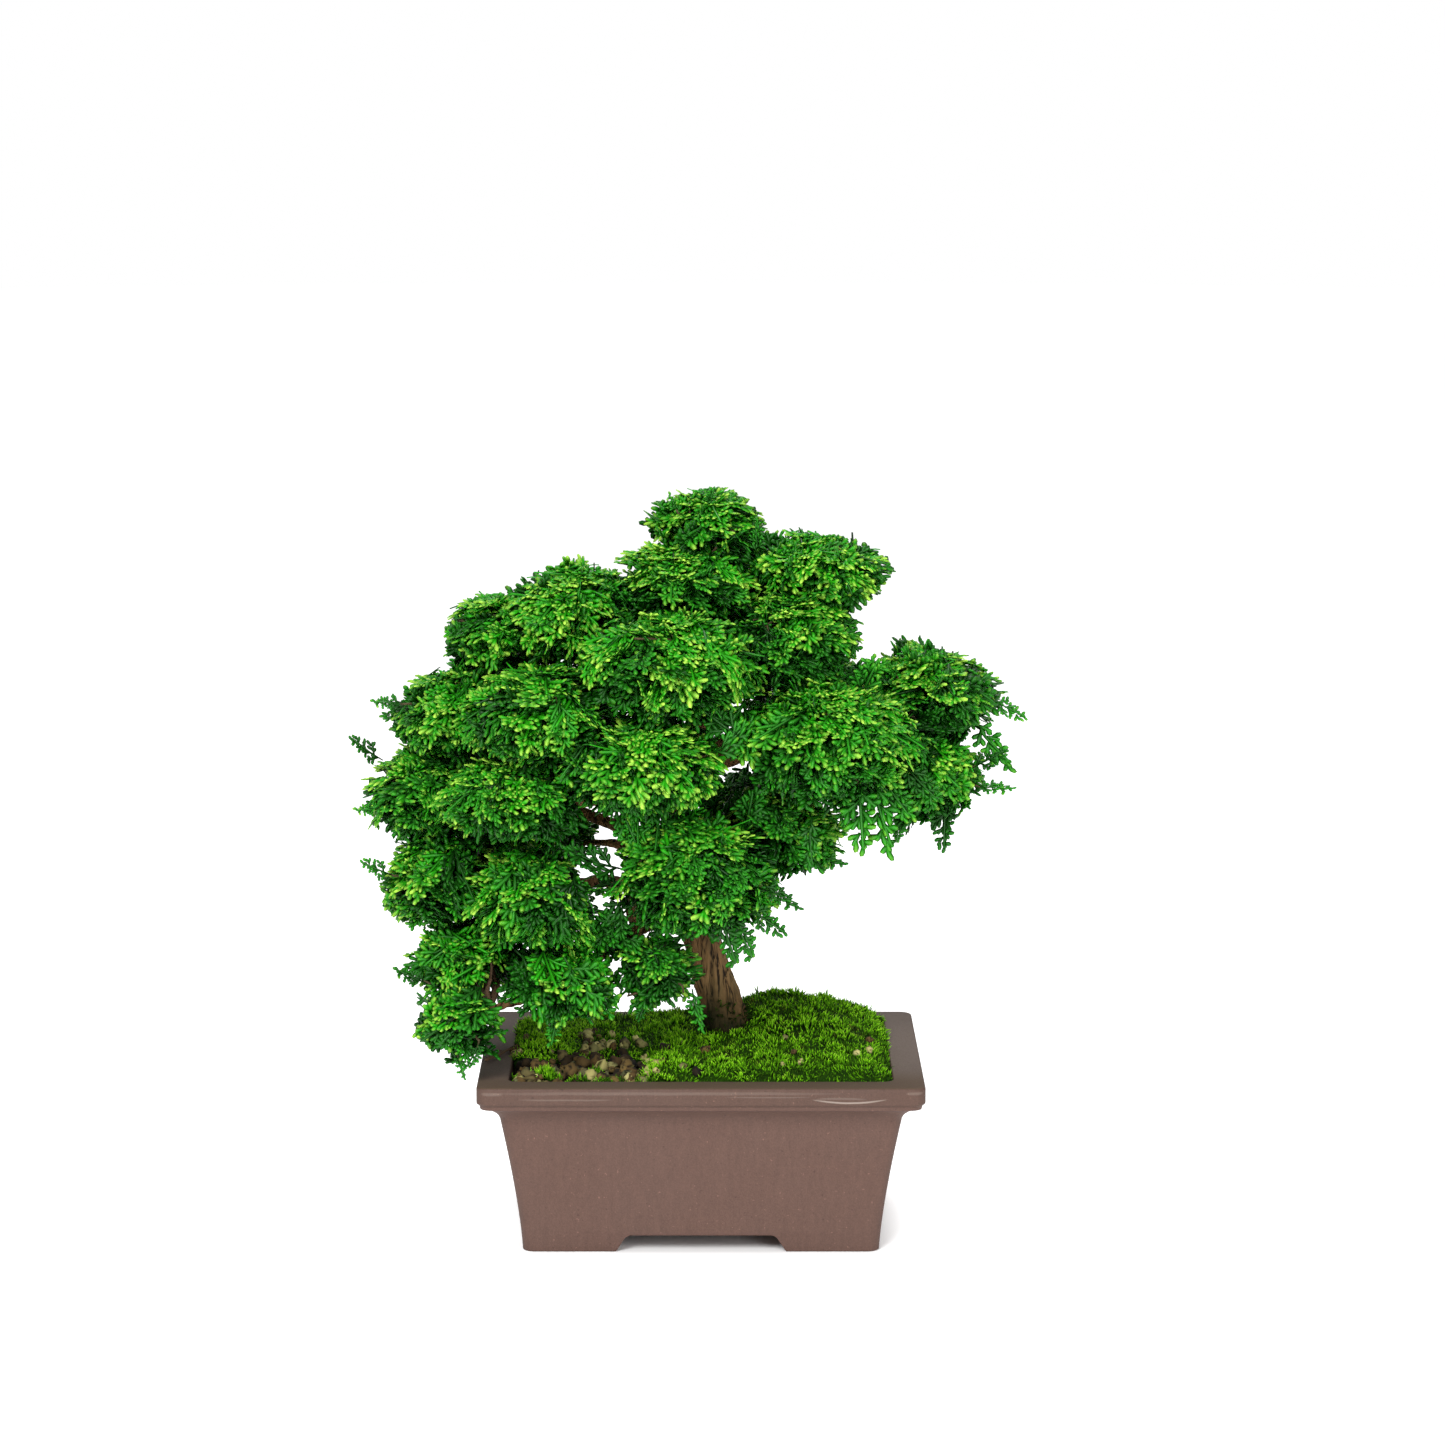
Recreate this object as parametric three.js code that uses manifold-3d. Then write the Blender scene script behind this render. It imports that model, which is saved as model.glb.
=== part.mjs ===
// A dwarf hinoki cypress grown as a bonsai in a rectangular stoneware pot.
// Millimetres, +Z up, the front of the tree towards -Y.

import * as THREE from 'three';
import { mergeVertices } from 'three/addons/utils/BufferGeometryUtils.js';
import Module from 'manifold-3d';

const wasm = await Module();
wasm.setup();

// ---------------------------------------------------------------- driving dimensions

const GAP = 0.3; // clearance between touching pieces

const POT = {
  length: 200, // rim, left to right
  depth: 150, // rim, front to back
  height: 80.5,
  corner: 5, // plan radius of every corner
  rimBand: 14, // width of the flat top of the rim
  rimHeight: 8.5, // the rim's upright face
  coveHeight: 7.6, // hollow curve under the rim
  neckInset: 9.8, // body's top edge, in from the rim
  footInset: 19.5, // body's bottom edge, in from the rim
  flare: 1.35, // how the side curves between the two
  wall: 6.5,
  floor: 7,
};

const FEET = {
  height: 7.8,
  frontArch: 67, // width of the arch at its top
  sideArch: 44,
  splay: 5, // how far each side of an arch leans out
};

const DRAIN = { diameter: 16, spacing: 76 };
const SCREEN = { size: 32, thickness: 0.8, openings: 4, opening: 5, bar: 2 };
const WIRE = { diameter: 1.5, reach: 14 };

// The mound's length and depth are shares of the space inside the rim.
const SOIL = { belowRim: 5.5, moundHeight: 13, moundLength: 0.62, moundDepth: 0.74 };

const MOSS = {
  depth: 8, // over most of the soil
  crown: 14.5, // how much higher the mound stands at its crown
  crownX: 38,
  crownY: 30,
  crownSpreadX: 30,
  crownSpreadY: 28,
  shoulder: 9, // width of the rounded border
  ripple: 0.8,
  cell: 9, // size of the facets
  moundStart: 0.3, // left side of the mound, as a share of the half length inside the rim
  cushionEnd: 0.62, // right side of the left cushion, likewise
  bareBack: 0.3, // back of the bare patch, as a share of the half depth inside the rim
};
const GRANULE = { size: 6.6, spacing: 8.4, rows: 2 };
const TWIG = { length: 24, diameter: 1.8 };

const TREE = { height: 266, width: 305, depth: 225 }; // above the soil, over the foliage
const FOLIAGE = { fullness: 1.15, flatBelow: 0.75 }; // size of every pad, and how flat its underside is
const TRUNK = { base: 25, top: 5 }; // diameters
const BRANCH = { base: 8, tip: 3 };

const soilTop = POT.height - SOIL.belowRim;
const floorTop = FEET.height + POT.floor;

const fullTurn = Math.PI * 2;

// ---------------------------------------------------------------- solids

function toSolid(geometry) {
  geometry.deleteAttribute('normal');
  geometry.deleteAttribute('uv');
  const merged = mergeVertices(geometry, 1e-4);
  const vertProperties = new Float32Array(merged.attributes.position.array);
  const triVerts = new Uint32Array(merged.index.array);
  return new wasm.Manifold(new wasm.Mesh({ numProp: 3, vertProperties, triVerts }));
}

function toGeometry(solid) {
  const mesh = solid.getMesh();
  const geometry = new THREE.BufferGeometry();
  geometry.setAttribute('position', new THREE.BufferAttribute(new Float32Array(mesh.vertProperties), 3));
  geometry.setIndex(new THREE.BufferAttribute(new Uint32Array(mesh.triVerts), 1));
  geometry.computeVertexNormals();
  return geometry;
}

function joined(solids) {
  return solids.reduce((whole, solid) => whole.add(solid));
}

// A repeatable number from 0 to 1 for a whole-number seed.
function chance(seed) {
  const wave = Math.sin(seed * 12.9898 + 4.137) * 43758.5453;
  return wave - Math.floor(wave);
}

// A rounded rectangle carried up through stations of { z, inset }.
function loft(length, depth, corner, stations) {
  const x = length / 2 - corner;
  const y = depth / 2 - corner;
  const outline = new THREE.Shape();
  outline.absarc(x, y, corner, 0, Math.PI / 2);
  outline.absarc(-x, y, corner, Math.PI / 2, Math.PI);
  outline.absarc(-x, -y, corner, Math.PI, Math.PI * 1.5);
  outline.absarc(x, -y, corner, Math.PI * 1.5, Math.PI * 2);
  const steps = stations.length - 1;
  const options = { depth: steps, steps, curveSegments: 2, bevelEnabled: false };
  const geometry = new THREE.ExtrudeGeometry(outline, options);
  const points = geometry.attributes.position;
  for (let i = 0; i < points.count; i += 1) {
    const { z, inset } = stations[Math.round(points.getZ(i))];
    const px = points.getX(i);
    const py = points.getY(i);
    points.setXYZ(i, px - Math.sign(px) * inset, py - Math.sign(py) * inset, z);
  }
  return toSolid(geometry);
}

function box(width, depth, height, x, y, z) {
  return toSolid(new THREE.BoxGeometry(width, depth, height).translate(x, y, z + height / 2));
}

// A lumpy ball: an ellipsoid with soft bulges that differ from seed to seed.
function lump(centre, radii, seed, detail, roughness, flatBelow = 1) {
  const geometry = new THREE.IcosahedronGeometry(1, detail);
  const points = geometry.attributes.position;
  const point = new THREE.Vector3();
  for (let i = 0; i < points.count; i += 1) {
    point.fromBufferAttribute(points, i);
    const waveX = Math.sin(3.1 * point.x + fullTurn * chance(seed));
    const waveY = Math.cos(2.7 * point.y + fullTurn * chance(seed + 1));
    const slow = waveX * waveY;
    const quick = Math.sin(5.3 * point.z + 4.1 * point.x + fullTurn * chance(seed + 2));
    const swell = 1 + roughness * (0.6 * slow + 0.4 * quick);
    point.multiplyScalar(swell).multiply(radii);
    point.z *= point.z < 0 ? flatBelow : 1;
    point.add(centre);
    points.setXYZ(i, point.x, point.y, point.z);
  }
  return toSolid(geometry);
}

// A tapered limb along a smooth curve, closed at both ends.
function limb(points, startRadius, endRadius, sides, steps, flare = 0) {
  const curve = new THREE.CatmullRomCurve3(points, false, 'centripetal');
  const geometry = new THREE.CylinderGeometry(1, 1, 1, sides, steps);
  const vertices = geometry.attributes.position;
  const frames = curve.computeFrenetFrames(steps);
  for (let i = 0; i < vertices.count; i += 1) {
    const along = Math.min(1, Math.max(0, vertices.getY(i) + 0.5));
    const step = Math.round(along * steps);
    const swell = 1 + flare * Math.max(0, 1 - along * 5) ** 2;
    const radius = THREE.MathUtils.lerp(startRadius, endRadius, along ** 0.8) * swell;
    const point = curve.getPointAt(along);
    point.addScaledVector(frames.normals[step], vertices.getZ(i) * radius);
    point.addScaledVector(frames.binormals[step], vertices.getX(i) * radius);
    vertices.setXYZ(i, point.x, point.y, point.z);
  }
  return toSolid(geometry);
}

// ---------------------------------------------------------------- materials

const stoneware = { color: 0x7a6059, roughness: 0.72, metalness: 0 };
const screenPlastic = { color: 0x1f1f1f, roughness: 0.6, metalness: 0 };
const wireMetal = { color: 0xb08b6a, roughness: 0.4, metalness: 1 };
const earth = { color: 0x4a382b, roughness: 0.95, metalness: 0 };
const mossGreen = { color: 0x5f8a1c, roughness: 0.95, metalness: 0 };
const pumice = { color: 0xb9a27a, roughness: 0.9, metalness: 0 };
const bark = { color: 0x6b4a37, roughness: 0.9, metalness: 0 };
const leafGreen = { color: 0x2f8a1f, roughness: 0.6, metalness: 0 };

const tree = new THREE.Group();

function addPiece(name, solid, look) {
  const piece = new THREE.Mesh(toGeometry(solid), new THREE.MeshStandardMaterial(look));
  piece.name = name;
  tree.add(piece);
}

// ---------------------------------------------------------------- pot

const neckZ = POT.height - POT.rimHeight - POT.coveHeight;

function bodyInset(z) {
  const share = THREE.MathUtils.clamp(z / neckZ, 0, 1) ** POT.flare;
  return THREE.MathUtils.lerp(POT.footInset, POT.neckInset, share);
}

function potOutside() {
  const stations = [{ z: 0, inset: bodyInset(0) + 0.6 }];
  const bodySteps = 6;
  for (let i = 0; i <= bodySteps; i += 1) {
    const z = THREE.MathUtils.lerp(0.8, neckZ, i / bodySteps);
    stations.push({ z, inset: bodyInset(z) });
  }
  const coveSteps = 4;
  const rimBottom = POT.height - POT.rimHeight;
  for (let i = 1; i <= coveSteps; i += 1) {
    const angle = (i / coveSteps) * (Math.PI / 2);
    const z = neckZ + POT.coveHeight * Math.sin(angle) * 0.8;
    stations.push({ z, inset: 1.6 + (POT.neckInset - 1.6) * Math.cos(angle) });
  }
  stations.push({ z: rimBottom + 1.2, inset: 0 });
  stations.push({ z: POT.height - 1, inset: 0 });
  stations.push({ z: POT.height, inset: 1 });
  return loft(POT.length, POT.depth, POT.corner, stations);
}

// The hollow of the pot, or what fills it when set in by a clearance.
function potHollow(top, clearance) {
  const stations = [];
  const steps = 4;
  for (let i = 0; i <= steps; i += 1) {
    const z = THREE.MathUtils.lerp(floorTop + clearance, neckZ, i / steps);
    stations.push({ z, inset: bodyInset(z) + POT.wall + clearance });
  }
  const narrowing = bodyInset(neckZ) + POT.wall - POT.rimBand;
  const share = (Math.min(top, POT.height) - neckZ) / (POT.height - neckZ);
  stations.push({ z: Math.min(top, POT.height), inset: POT.rimBand + narrowing * (1 - share) + clearance });
  if (top > POT.height) {
    stations.push({ z: top, inset: POT.rimBand + clearance });
  }
  return loft(POT.length, POT.depth, POT.corner, stations);
}

// Everything between the pot's walls, carried on above the rim.
function insideRim() {
  return potHollow(POT.height * 1.5, GAP);
}

function arch(width, run) {
  const low = width / 2 + FEET.splay * (1 + 1 / FEET.height);
  const shape = new THREE.Shape();
  shape.moveTo(-low, -1);
  shape.lineTo(low, -1);
  shape.lineTo(width / 2, FEET.height);
  shape.lineTo(-width / 2, FEET.height);
  const geometry = new THREE.ExtrudeGeometry(shape, { depth: run, bevelEnabled: false });
  return geometry.rotateX(Math.PI / 2).translate(0, run / 2, 0);
}

const drainPlaces = [-1, 1].map((side) => (side * DRAIN.spacing) / 2);

function drainHole(x) {
  const radius = DRAIN.diameter / 2;
  const geometry = new THREE.CylinderGeometry(radius, radius, floorTop * 3, 24);
  return toSolid(geometry.rotateX(Math.PI / 2).translate(x, 0, 0));
}

function makePot() {
  let pot = potOutside().subtract(potHollow(POT.height + 1, 0));
  pot = pot.subtract(toSolid(arch(FEET.frontArch, POT.depth)));
  pot = pot.subtract(toSolid(arch(FEET.sideArch, POT.length).rotateZ(Math.PI / 2)));
  drainPlaces.forEach((x) => {
    pot = pot.subtract(drainHole(x));
  });
  return pot;
}

// ---------------------------------------------------------------- drain screens and their wires

const screenBottom = floorTop + GAP;
const screenTop = screenBottom + SCREEN.thickness;
const wireRadius = WIRE.diameter / 2;
const wireTop = screenTop + GAP + WIRE.diameter;
const wireBottom = FEET.height - GAP - WIRE.diameter;
const openingPitch = SCREEN.opening + SCREEN.bar;

function makeScreen(x) {
  const first = (-(SCREEN.openings - 1) * openingPitch) / 2;
  const holeHeight = SCREEN.thickness * 3;
  const holeBottom = floorTop - SCREEN.thickness;
  let screen = box(SCREEN.size, SCREEN.size, SCREEN.thickness, x, 0, screenBottom);
  for (let i = 0; i < SCREEN.openings; i += 1) {
    for (let j = 0; j < SCREEN.openings; j += 1) {
      const holeX = x + first + i * openingPitch;
      const holeY = first + j * openingPitch;
      screen = screen.subtract(box(SCREEN.opening, SCREEN.opening, holeHeight, holeX, holeY, holeBottom));
    }
  }
  return screen;
}

// A staple of wire: across the screen, down through the drain hole and out under the floor.
function makeWire(screenX) {
  const leg = openingPitch / 2; // the wire passes through the openings beside the middle bar
  const x = screenX + leg;
  const top = wireTop - wireRadius;
  const under = wireBottom + wireRadius;
  const bend = WIRE.diameter;
  const half = [
    [leg - bend, top],
    [leg, top - bend * 0.5],
    [leg, (top + under) / 2],
    [leg, under + bend],
    [leg + bend, under],
    [WIRE.reach, under],
  ];
  const points = half.map(([y, z]) => new THREE.Vector3(x, -y, z)).reverse();
  points.push(...half.map(([y, z]) => new THREE.Vector3(x, y, z)));
  const route = new THREE.CatmullRomCurve3(points, false, 'centripetal');
  const section = new THREE.Shape().absarc(0, 0, wireRadius, 0, Math.PI * 2);
  const options = { steps: 22, curveSegments: 4, extrudePath: route };
  return toSolid(new THREE.ExtrudeGeometry(section, options));
}

// ---------------------------------------------------------------- trunk, branches and roots

// A point of the tree, in hundredths of its width, depth and height above the soil.
function treePoint([x, y, z]) {
  const across = (x * TREE.width) / 100;
  const back = (y * TREE.depth) / 100;
  return new THREE.Vector3(across, back, soilTop + (z * TREE.height) / 100);
}

const trunkLine = [
  [5.4, 5, -9],
  [4.4, 4.5, 4],
  [0.9, 3, 18],
  [-3, 1, 32],
  [-3.5, -1, 46],
  [0, 0, 60],
  [2.5, 1, 75],
  [1, 2, 90],
];

// Each branch leaves the trunk at its first point and ends inside the foliage it carries.
const branchLines = [
  [[-1, 2, 26], [-12, -6, 33], [-24, -14, 32], [-38, -6, 31]],
  [[-1, 2, 24], [-10, -8, 25], [-19, -16, 17], [-30, -18, 13], [-37, -22, 11]],
  [[-10, -6, 29], [-9, -13, 21], [-8, -15, 16]],
  [[-2, 1, 30], [-1, -9, 34], [-1, -18, 35], [-1, -23, 34]],
  [[-3, 0, 36], [-16, 6, 42], [-30, 2, 46], [-42, 0, 46]],
  [[-24, 4, 45], [-34, 0, 54], [-39, -2, 60]],
  [[-3.5, -1, 44], [-10, -11, 50], [-18, -18, 57], [-24, -21, 61]],
  [[-10, -11, 49], [-19, -17, 48], [-28, -20, 48]],
  [[-3.5, -1, 46], [-6, -13, 51], [-9, -24, 54]],
  [[-3, 0, 34], [7, -2, 37], [16, -6, 39]],
  [[-2.5, 0, 50], [8, -8, 55], [20, -18, 57]],
  [[-1, 0, 54], [14, 3, 60], [27, 2, 62], [37, 0, 64]],
  [[20, 2, 60], [29, -4, 54], [36, -6, 51]],
  [[0, 0, 62], [-2, -12, 68], [-4, -22, 72]],
  [[1, 0, 65], [-8, -4, 73], [-19, -7, 78], [-33, 0, 76]],
  [[1.5, 0.5, 68], [7, -6, 72], [14, -10, 75]],
  [[2.5, 1, 76], [10, 0, 83], [20, -2, 86]],
  [[0, 0, 60], [-2, 12, 68], [-2, 20, 74]],
  [[-3.5, -1, 44], [-12, 14, 51], [-25, 24, 54]],
  [[-1.5, 0, 52], [8, 12, 54], [19, 21, 56]],
  [[-3, 1, 33], [-12, 12, 36], [-21, 20, 35]],
  [[-2, 1.5, 29], [3, 12, 35], [8, 20, 37]],
];

// Roots spread from the foot of the trunk, down into the soil.
const rootLines = [0, 1, 2, 3, 4].map((i) => {
  const turn = (i / 5) * fullTurn + 0.5;
  const across = Math.cos(turn);
  const back = Math.sin(turn);
  return [
    [5, 5, -1],
    [5 + across * 5, 5 + back * 7, -5],
    [5 + across * 13, 5 + back * 14, -12],
  ];
});

// The whole woody part, grown in one piece. Clearance makes it fatter, for cutting its neighbours.
function makeWood(clearance) {
  const trunk = limb(
    trunkLine.map(treePoint),
    TRUNK.base / 2 + clearance,
    TRUNK.top / 2 + clearance,
    12,
    14,
    0.3,
  );
  const start = BRANCH.base / 2 + clearance;
  const tip = BRANCH.tip / 2 + clearance;
  const branches = branchLines.map((line) => limb(line.map(treePoint), start, tip, 6, 5));
  const roots = rootLines.map((line) => limb(line.map(treePoint), start, tip, 6, 4));
  return joined([trunk, ...branches, ...roots]);
}

// ---------------------------------------------------------------- foliage

// Each pad is the leaf sprays of one branch: centre in tree hundredths, radii in millimetres.
const foliagePads = [
  ['apex', [1, 2, 91], [22, 27, 20]],
  ['upper_right', [17.5, -2, 85], [29, 30, 17]],
  ['upper_centre', [-3, -5, 83], [30, 34, 19]],
  ['upper_left', [-19, -7, 78], [30, 36, 22]],
  ['far_upper_left', [-31, 0, 74], [19, 30, 19]],
  ['centre_dome', [-4.5, -23, 71], [38, 34, 25]],
  ['right_shoulder', [13.5, -10, 74], [28, 34, 21]],
  ['right_front', [19, -20, 57], [38, 35, 27]],
  ['far_right_upper', [34.5, 0, 63], [31, 34, 20]],
  ['far_right_lower', [34, -7, 50], [23, 30, 20]],
  ['left_shoulder', [-37, -2, 60], [26, 34, 20]],
  ['left_front_upper', [-24, -21, 62.5], [30, 33, 22]],
  ['left_middle', [-41.5, 0, 45.5], [25, 34, 21]],
  ['left_front_middle', [-28, -20, 48], [28, 32, 19]],
  ['centre_front', [-9, -26, 54], [33, 30, 22]],
  ['left_lower', [-39.5, -5, 30.5], [23, 32, 20]],
  ['left_front_lower', [-24.5, -18, 30], [28, 30, 21]],
  ['left_hanging', [-34.5, -11, 18], [26, 24, 17]],
  ['left_tip', [-35.5, -27, 10], [17, 15, 15]],
  ['low_left_fan', [-20, -20, 16], [27, 22, 15]],
  ['low_centre_fan', [-7.5, -16, 17], [18, 18, 15]],
  ['low_front', [-0.5, -22, 34], [35, 30, 26]],
  ['right_low', [12, -7, 40], [28, 30, 18]],
  ['back_upper', [-2, 22, 74], [40, 32, 24]],
  ['back_left', [-26, 26, 54], [38, 34, 27]],
  ['back_right', [20, 22, 56], [38, 34, 26]],
  ['back_low_left', [-27, 22, 33], [33, 30, 21]],
  ['back_low_right', [9, 22, 38], [27, 28, 18]],
];

function padSolid(index, clearance) {
  const [, place, radii] = foliagePads[index];
  const size = new THREE.Vector3(...radii).multiplyScalar(FOLIAGE.fullness).addScalar(clearance);
  return lump(treePoint(place), size, 7 * index + 3, 2, 0.1, FOLIAGE.flatBelow);
}

// ---------------------------------------------------------------- soil, moss and granules

const openingX = POT.length / 2 - POT.rimBand;
const openingY = POT.depth / 2 - POT.rimBand;
const moundPlace = new THREE.Vector3(TREE.width * 0.09, TREE.depth * 0.08, soilTop);

function soilMound(clearance) {
  const radii = new THREE.Vector3(openingX * SOIL.moundLength, openingY * SOIL.moundDepth, SOIL.moundHeight);
  return lump(moundPlace, radii.addScalar(clearance), 41, 3, 0.05);
}

function makeSoil() {
  let soil = potHollow(soilTop, GAP).add(soilMound(0).intersect(insideRim()));
  const lift = wireTop - floorTop + GAP;
  const size = SCREEN.size + 2 * GAP;
  drainPlaces.forEach((x) => {
    soil = soil.subtract(box(size, size, lift, x, 0, floorTop));
  });
  return soil;
}

const mossEdge = GAP + 0.2; // moss stays this far inside the rim
const mossStart = -openingX * MOSS.moundStart; // left side of the big mound
const bareBack = -openingY * MOSS.bareBack; // bare granules lie in front of this, left of the mound

// How far in from the border of the moss a point lies: the rim, or the bare patch at the front left.
function mossBorder(x, y) {
  const toRim = Math.min(openingX - Math.abs(x), openingY - Math.abs(y));
  const toBare = Math.max(x - mossStart, y - bareBack);
  return Math.max(0, Math.min(toRim, toBare));
}

function mossHeight(x, y) {
  const across = (x - MOSS.crownX) / MOSS.crownSpreadX;
  const back = (y - MOSS.crownY) / MOSS.crownSpreadY;
  const crown = MOSS.crown * Math.exp(-(across ** 2 + back ** 2) / 2);
  const ripple = MOSS.ripple * Math.sin(x / 5.1 + 1) * Math.cos(y / 6.3);
  const shoulder = Math.sqrt(THREE.MathUtils.clamp(mossBorder(x, y) / MOSS.shoulder, 0, 1));
  return THREE.MathUtils.lerp(SOIL.belowRim * 0.6, MOSS.depth + crown + ripple, shoulder);
}

// A cushion of moss: flat below, its top following the moss height.
function mossPad(minX, maxX, minY, maxY) {
  const columns = Math.ceil((maxX - minX) / MOSS.cell);
  const rows = Math.ceil((maxY - minY) / MOSS.cell);
  const geometry = new THREE.BoxGeometry(maxX - minX, maxY - minY, 1, columns, rows, 1);
  geometry.translate((minX + maxX) / 2, (minY + maxY) / 2, 0);
  const points = geometry.attributes.position;
  for (let i = 0; i < points.count; i += 1) {
    const top = points.getZ(i) > 0;
    const rise = top ? mossHeight(points.getX(i), points.getY(i)) : GAP;
    points.setZ(i, soilTop + rise);
  }
  return toSolid(geometry);
}

function makeMoss(cutters) {
  const right = openingX - mossEdge;
  const back = openingY - mossEdge;
  const leftEnd = -openingX * MOSS.cushionEnd;
  const pieces = {
    moss_mound: mossPad(mossStart, right, -back, back),
    moss_left_cushion: mossPad(-right, leftEnd, bareBack, back),
    moss_back_cushion: mossPad(leftEnd + GAP, mossStart - GAP, bareBack, back),
  };
  Object.entries(pieces).forEach(([name, solid]) => {
    const cut = cutters.reduce((rest, cutter) => rest.subtract(cutter), solid.intersect(insideRim()));
    addPiece(name, cut, mossGreen);
  });
}

// Loose granules lie in rows on the bare soil at the front left.
function makeGranules() {
  const minX = -openingX + mossEdge;
  const minY = -openingY + mossEdge;
  const columns = Math.floor((mossStart - GAP - minX) / GRANULE.spacing);
  const stepX = (mossStart - GAP - minX) / columns;
  for (let i = 0; i < GRANULE.rows * columns; i += 1) {
    const row = Math.floor(i / columns);
    const column = i % columns;
    const seed = 100 + i * 7;
    const radii = new THREE.Vector3(1, 0.85, 0.75).multiplyScalar(GRANULE.size / 2);
    radii.multiplyScalar(0.85 + 0.3 * chance(seed + 5));
    const x = minX + (column + 0.5) * stepX + (chance(seed) - 0.5) * GAP * 2;
    const y = minY + (row + 0.5) * GRANULE.spacing + (chance(seed + 1) - 0.5) * GAP * 2;
    const place = new THREE.Vector3(x, y, soilTop + GAP + radii.z * 1.1);
    addPiece(`granule_${String(i + 1).padStart(2, '0')}`, lump(place, radii, seed, 1, 0.1), pumice);
  }
}

// A dead twig lying on the left of the rim.
function makeTwig() {
  const z = POT.height + GAP + TWIG.diameter / 2;
  const turn = 1.1;
  const start = new THREE.Vector3(-POT.length / 2 + 3, -POT.depth * 0.17, z);
  const points = [0, 0.35, 0.7, 1].map((share, i) => {
    const bow = i % 2 ? 0.6 : 0;
    const x = start.x + Math.cos(turn) * TWIG.length * share - bow;
    const y = start.y + Math.sin(turn) * TWIG.length * share + bow;
    return new THREE.Vector3(x, y, z);
  });
  return limb(points, TWIG.diameter / 2, TWIG.diameter / 3, 6, 6);
}

// ---------------------------------------------------------------- assembly

addPiece('pot', makePot(), stoneware);
['left', 'right'].forEach((side, i) => {
  addPiece(`drain_screen_${side}`, makeScreen(drainPlaces[i]), screenPlastic);
  addPiece(`screen_wire_${side}`, makeWire(drainPlaces[i]), wireMetal);
});

const woodCutter = makeWood(GAP);
addPiece('soil', makeSoil().subtract(woodCutter), earth);
addPiece('trunk_and_branches', makeWood(0), bark);
makeMoss([soilMound(GAP), woodCutter]);
makeGranules();
addPiece('fallen_twig', makeTwig(), bark);

foliagePads.forEach(([name], index) => {
  let pad = padSolid(index, 0).subtract(woodCutter);
  for (let earlier = 0; earlier < index; earlier += 1) {
    pad = pad.subtract(padSolid(earlier, GAP));
  }
  addPiece(`foliage_${name}`, pad, leafGreen);
});

// The origin is the middle of the underside of the whole plant.
const extent = new THREE.Box3().setFromObject(tree);
const middle = extent.getCenter(new THREE.Vector3());
tree.position.set(-middle.x, -middle.y, -extent.min.z);
tree.updateMatrixWorld(true);

export default tree;
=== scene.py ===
"""A dwarf hinoki cypress bonsai in a rectangular stoneware pot.

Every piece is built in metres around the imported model, which is loaded first as a fixed frame.
"""

import math

import bmesh
import bpy
import numpy as np
from bpy.props import FloatProperty, FloatVectorProperty, IntProperty, PointerProperty
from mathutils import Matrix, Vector, noise
from mathutils.bvhtree import BVHTree


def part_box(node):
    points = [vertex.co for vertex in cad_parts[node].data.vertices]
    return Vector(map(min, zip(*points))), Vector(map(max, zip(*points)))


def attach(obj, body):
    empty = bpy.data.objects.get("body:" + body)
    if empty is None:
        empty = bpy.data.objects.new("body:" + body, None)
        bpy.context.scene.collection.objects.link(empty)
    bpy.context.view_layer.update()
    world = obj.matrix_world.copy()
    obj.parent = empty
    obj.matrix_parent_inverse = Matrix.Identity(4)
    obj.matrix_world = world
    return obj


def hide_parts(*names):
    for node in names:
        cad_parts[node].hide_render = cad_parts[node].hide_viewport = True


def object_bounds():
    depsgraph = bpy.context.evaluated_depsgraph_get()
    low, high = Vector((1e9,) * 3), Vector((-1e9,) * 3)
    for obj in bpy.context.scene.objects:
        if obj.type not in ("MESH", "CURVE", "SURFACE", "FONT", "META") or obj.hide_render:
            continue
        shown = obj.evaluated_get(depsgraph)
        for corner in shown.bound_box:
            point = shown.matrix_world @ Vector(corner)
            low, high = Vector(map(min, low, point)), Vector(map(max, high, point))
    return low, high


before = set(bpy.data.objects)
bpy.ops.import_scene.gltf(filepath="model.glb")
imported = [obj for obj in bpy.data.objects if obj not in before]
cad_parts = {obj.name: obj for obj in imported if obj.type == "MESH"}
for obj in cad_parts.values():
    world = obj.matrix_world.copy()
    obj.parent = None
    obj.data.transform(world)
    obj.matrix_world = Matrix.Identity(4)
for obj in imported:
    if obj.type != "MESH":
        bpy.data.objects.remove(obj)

bl_info = {
    "name": "Hinoki Bonsai in a Pot",
    "version": (1, 0, 0),
    "blender": (4, 5, 0),
    "location": "3D View > Sidebar > Bonsai",
    "description": "Builds the leaf sprays, wood, moss, grit, pot and studio of a potted bonsai",
    "category": "Add Mesh",
}

CAD_BOX = [list(corner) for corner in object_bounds()]
MM = 0.001
BODY = "root"
LEAF_MAP = "OFBake"
UP = np.array([0.0, 0.0, 1.0])

POT_LOW, POT_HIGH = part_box("pot")
POT_X = (POT_LOW.x + POT_HIGH.x) / 2
POT_Y = (POT_LOW.y + POT_HIGH.y) / 2
RIM_TOP = POT_HIGH.z

# noise_vector starts from the clock until it is given a seed, and the moss has to come out alike each run.
NOISE_SEED = 1
noise.seed_set(NOISE_SEED)


# Openings of the pot: radius of a drain hole, and widths of the arches under the long and short sides.
HOLE_RADIUS = 0.008
FRONT_ARCH = 0.067
SIDE_ARCH = 0.044

# The camera: distance in front of the pot, height, tilt below level in degrees, lens in millimetres.
CAMERA_BACK = 2.0304
CAMERA_HEIGHT = 0.5783
CAMERA_TILT = 9.659
CAMERA_LENS = 112.9


# ---------------------------------------------------------------- settings


def length_setting(name, description, default):
    return FloatProperty(name=name, description=description, default=default, unit="LENGTH")


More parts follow.
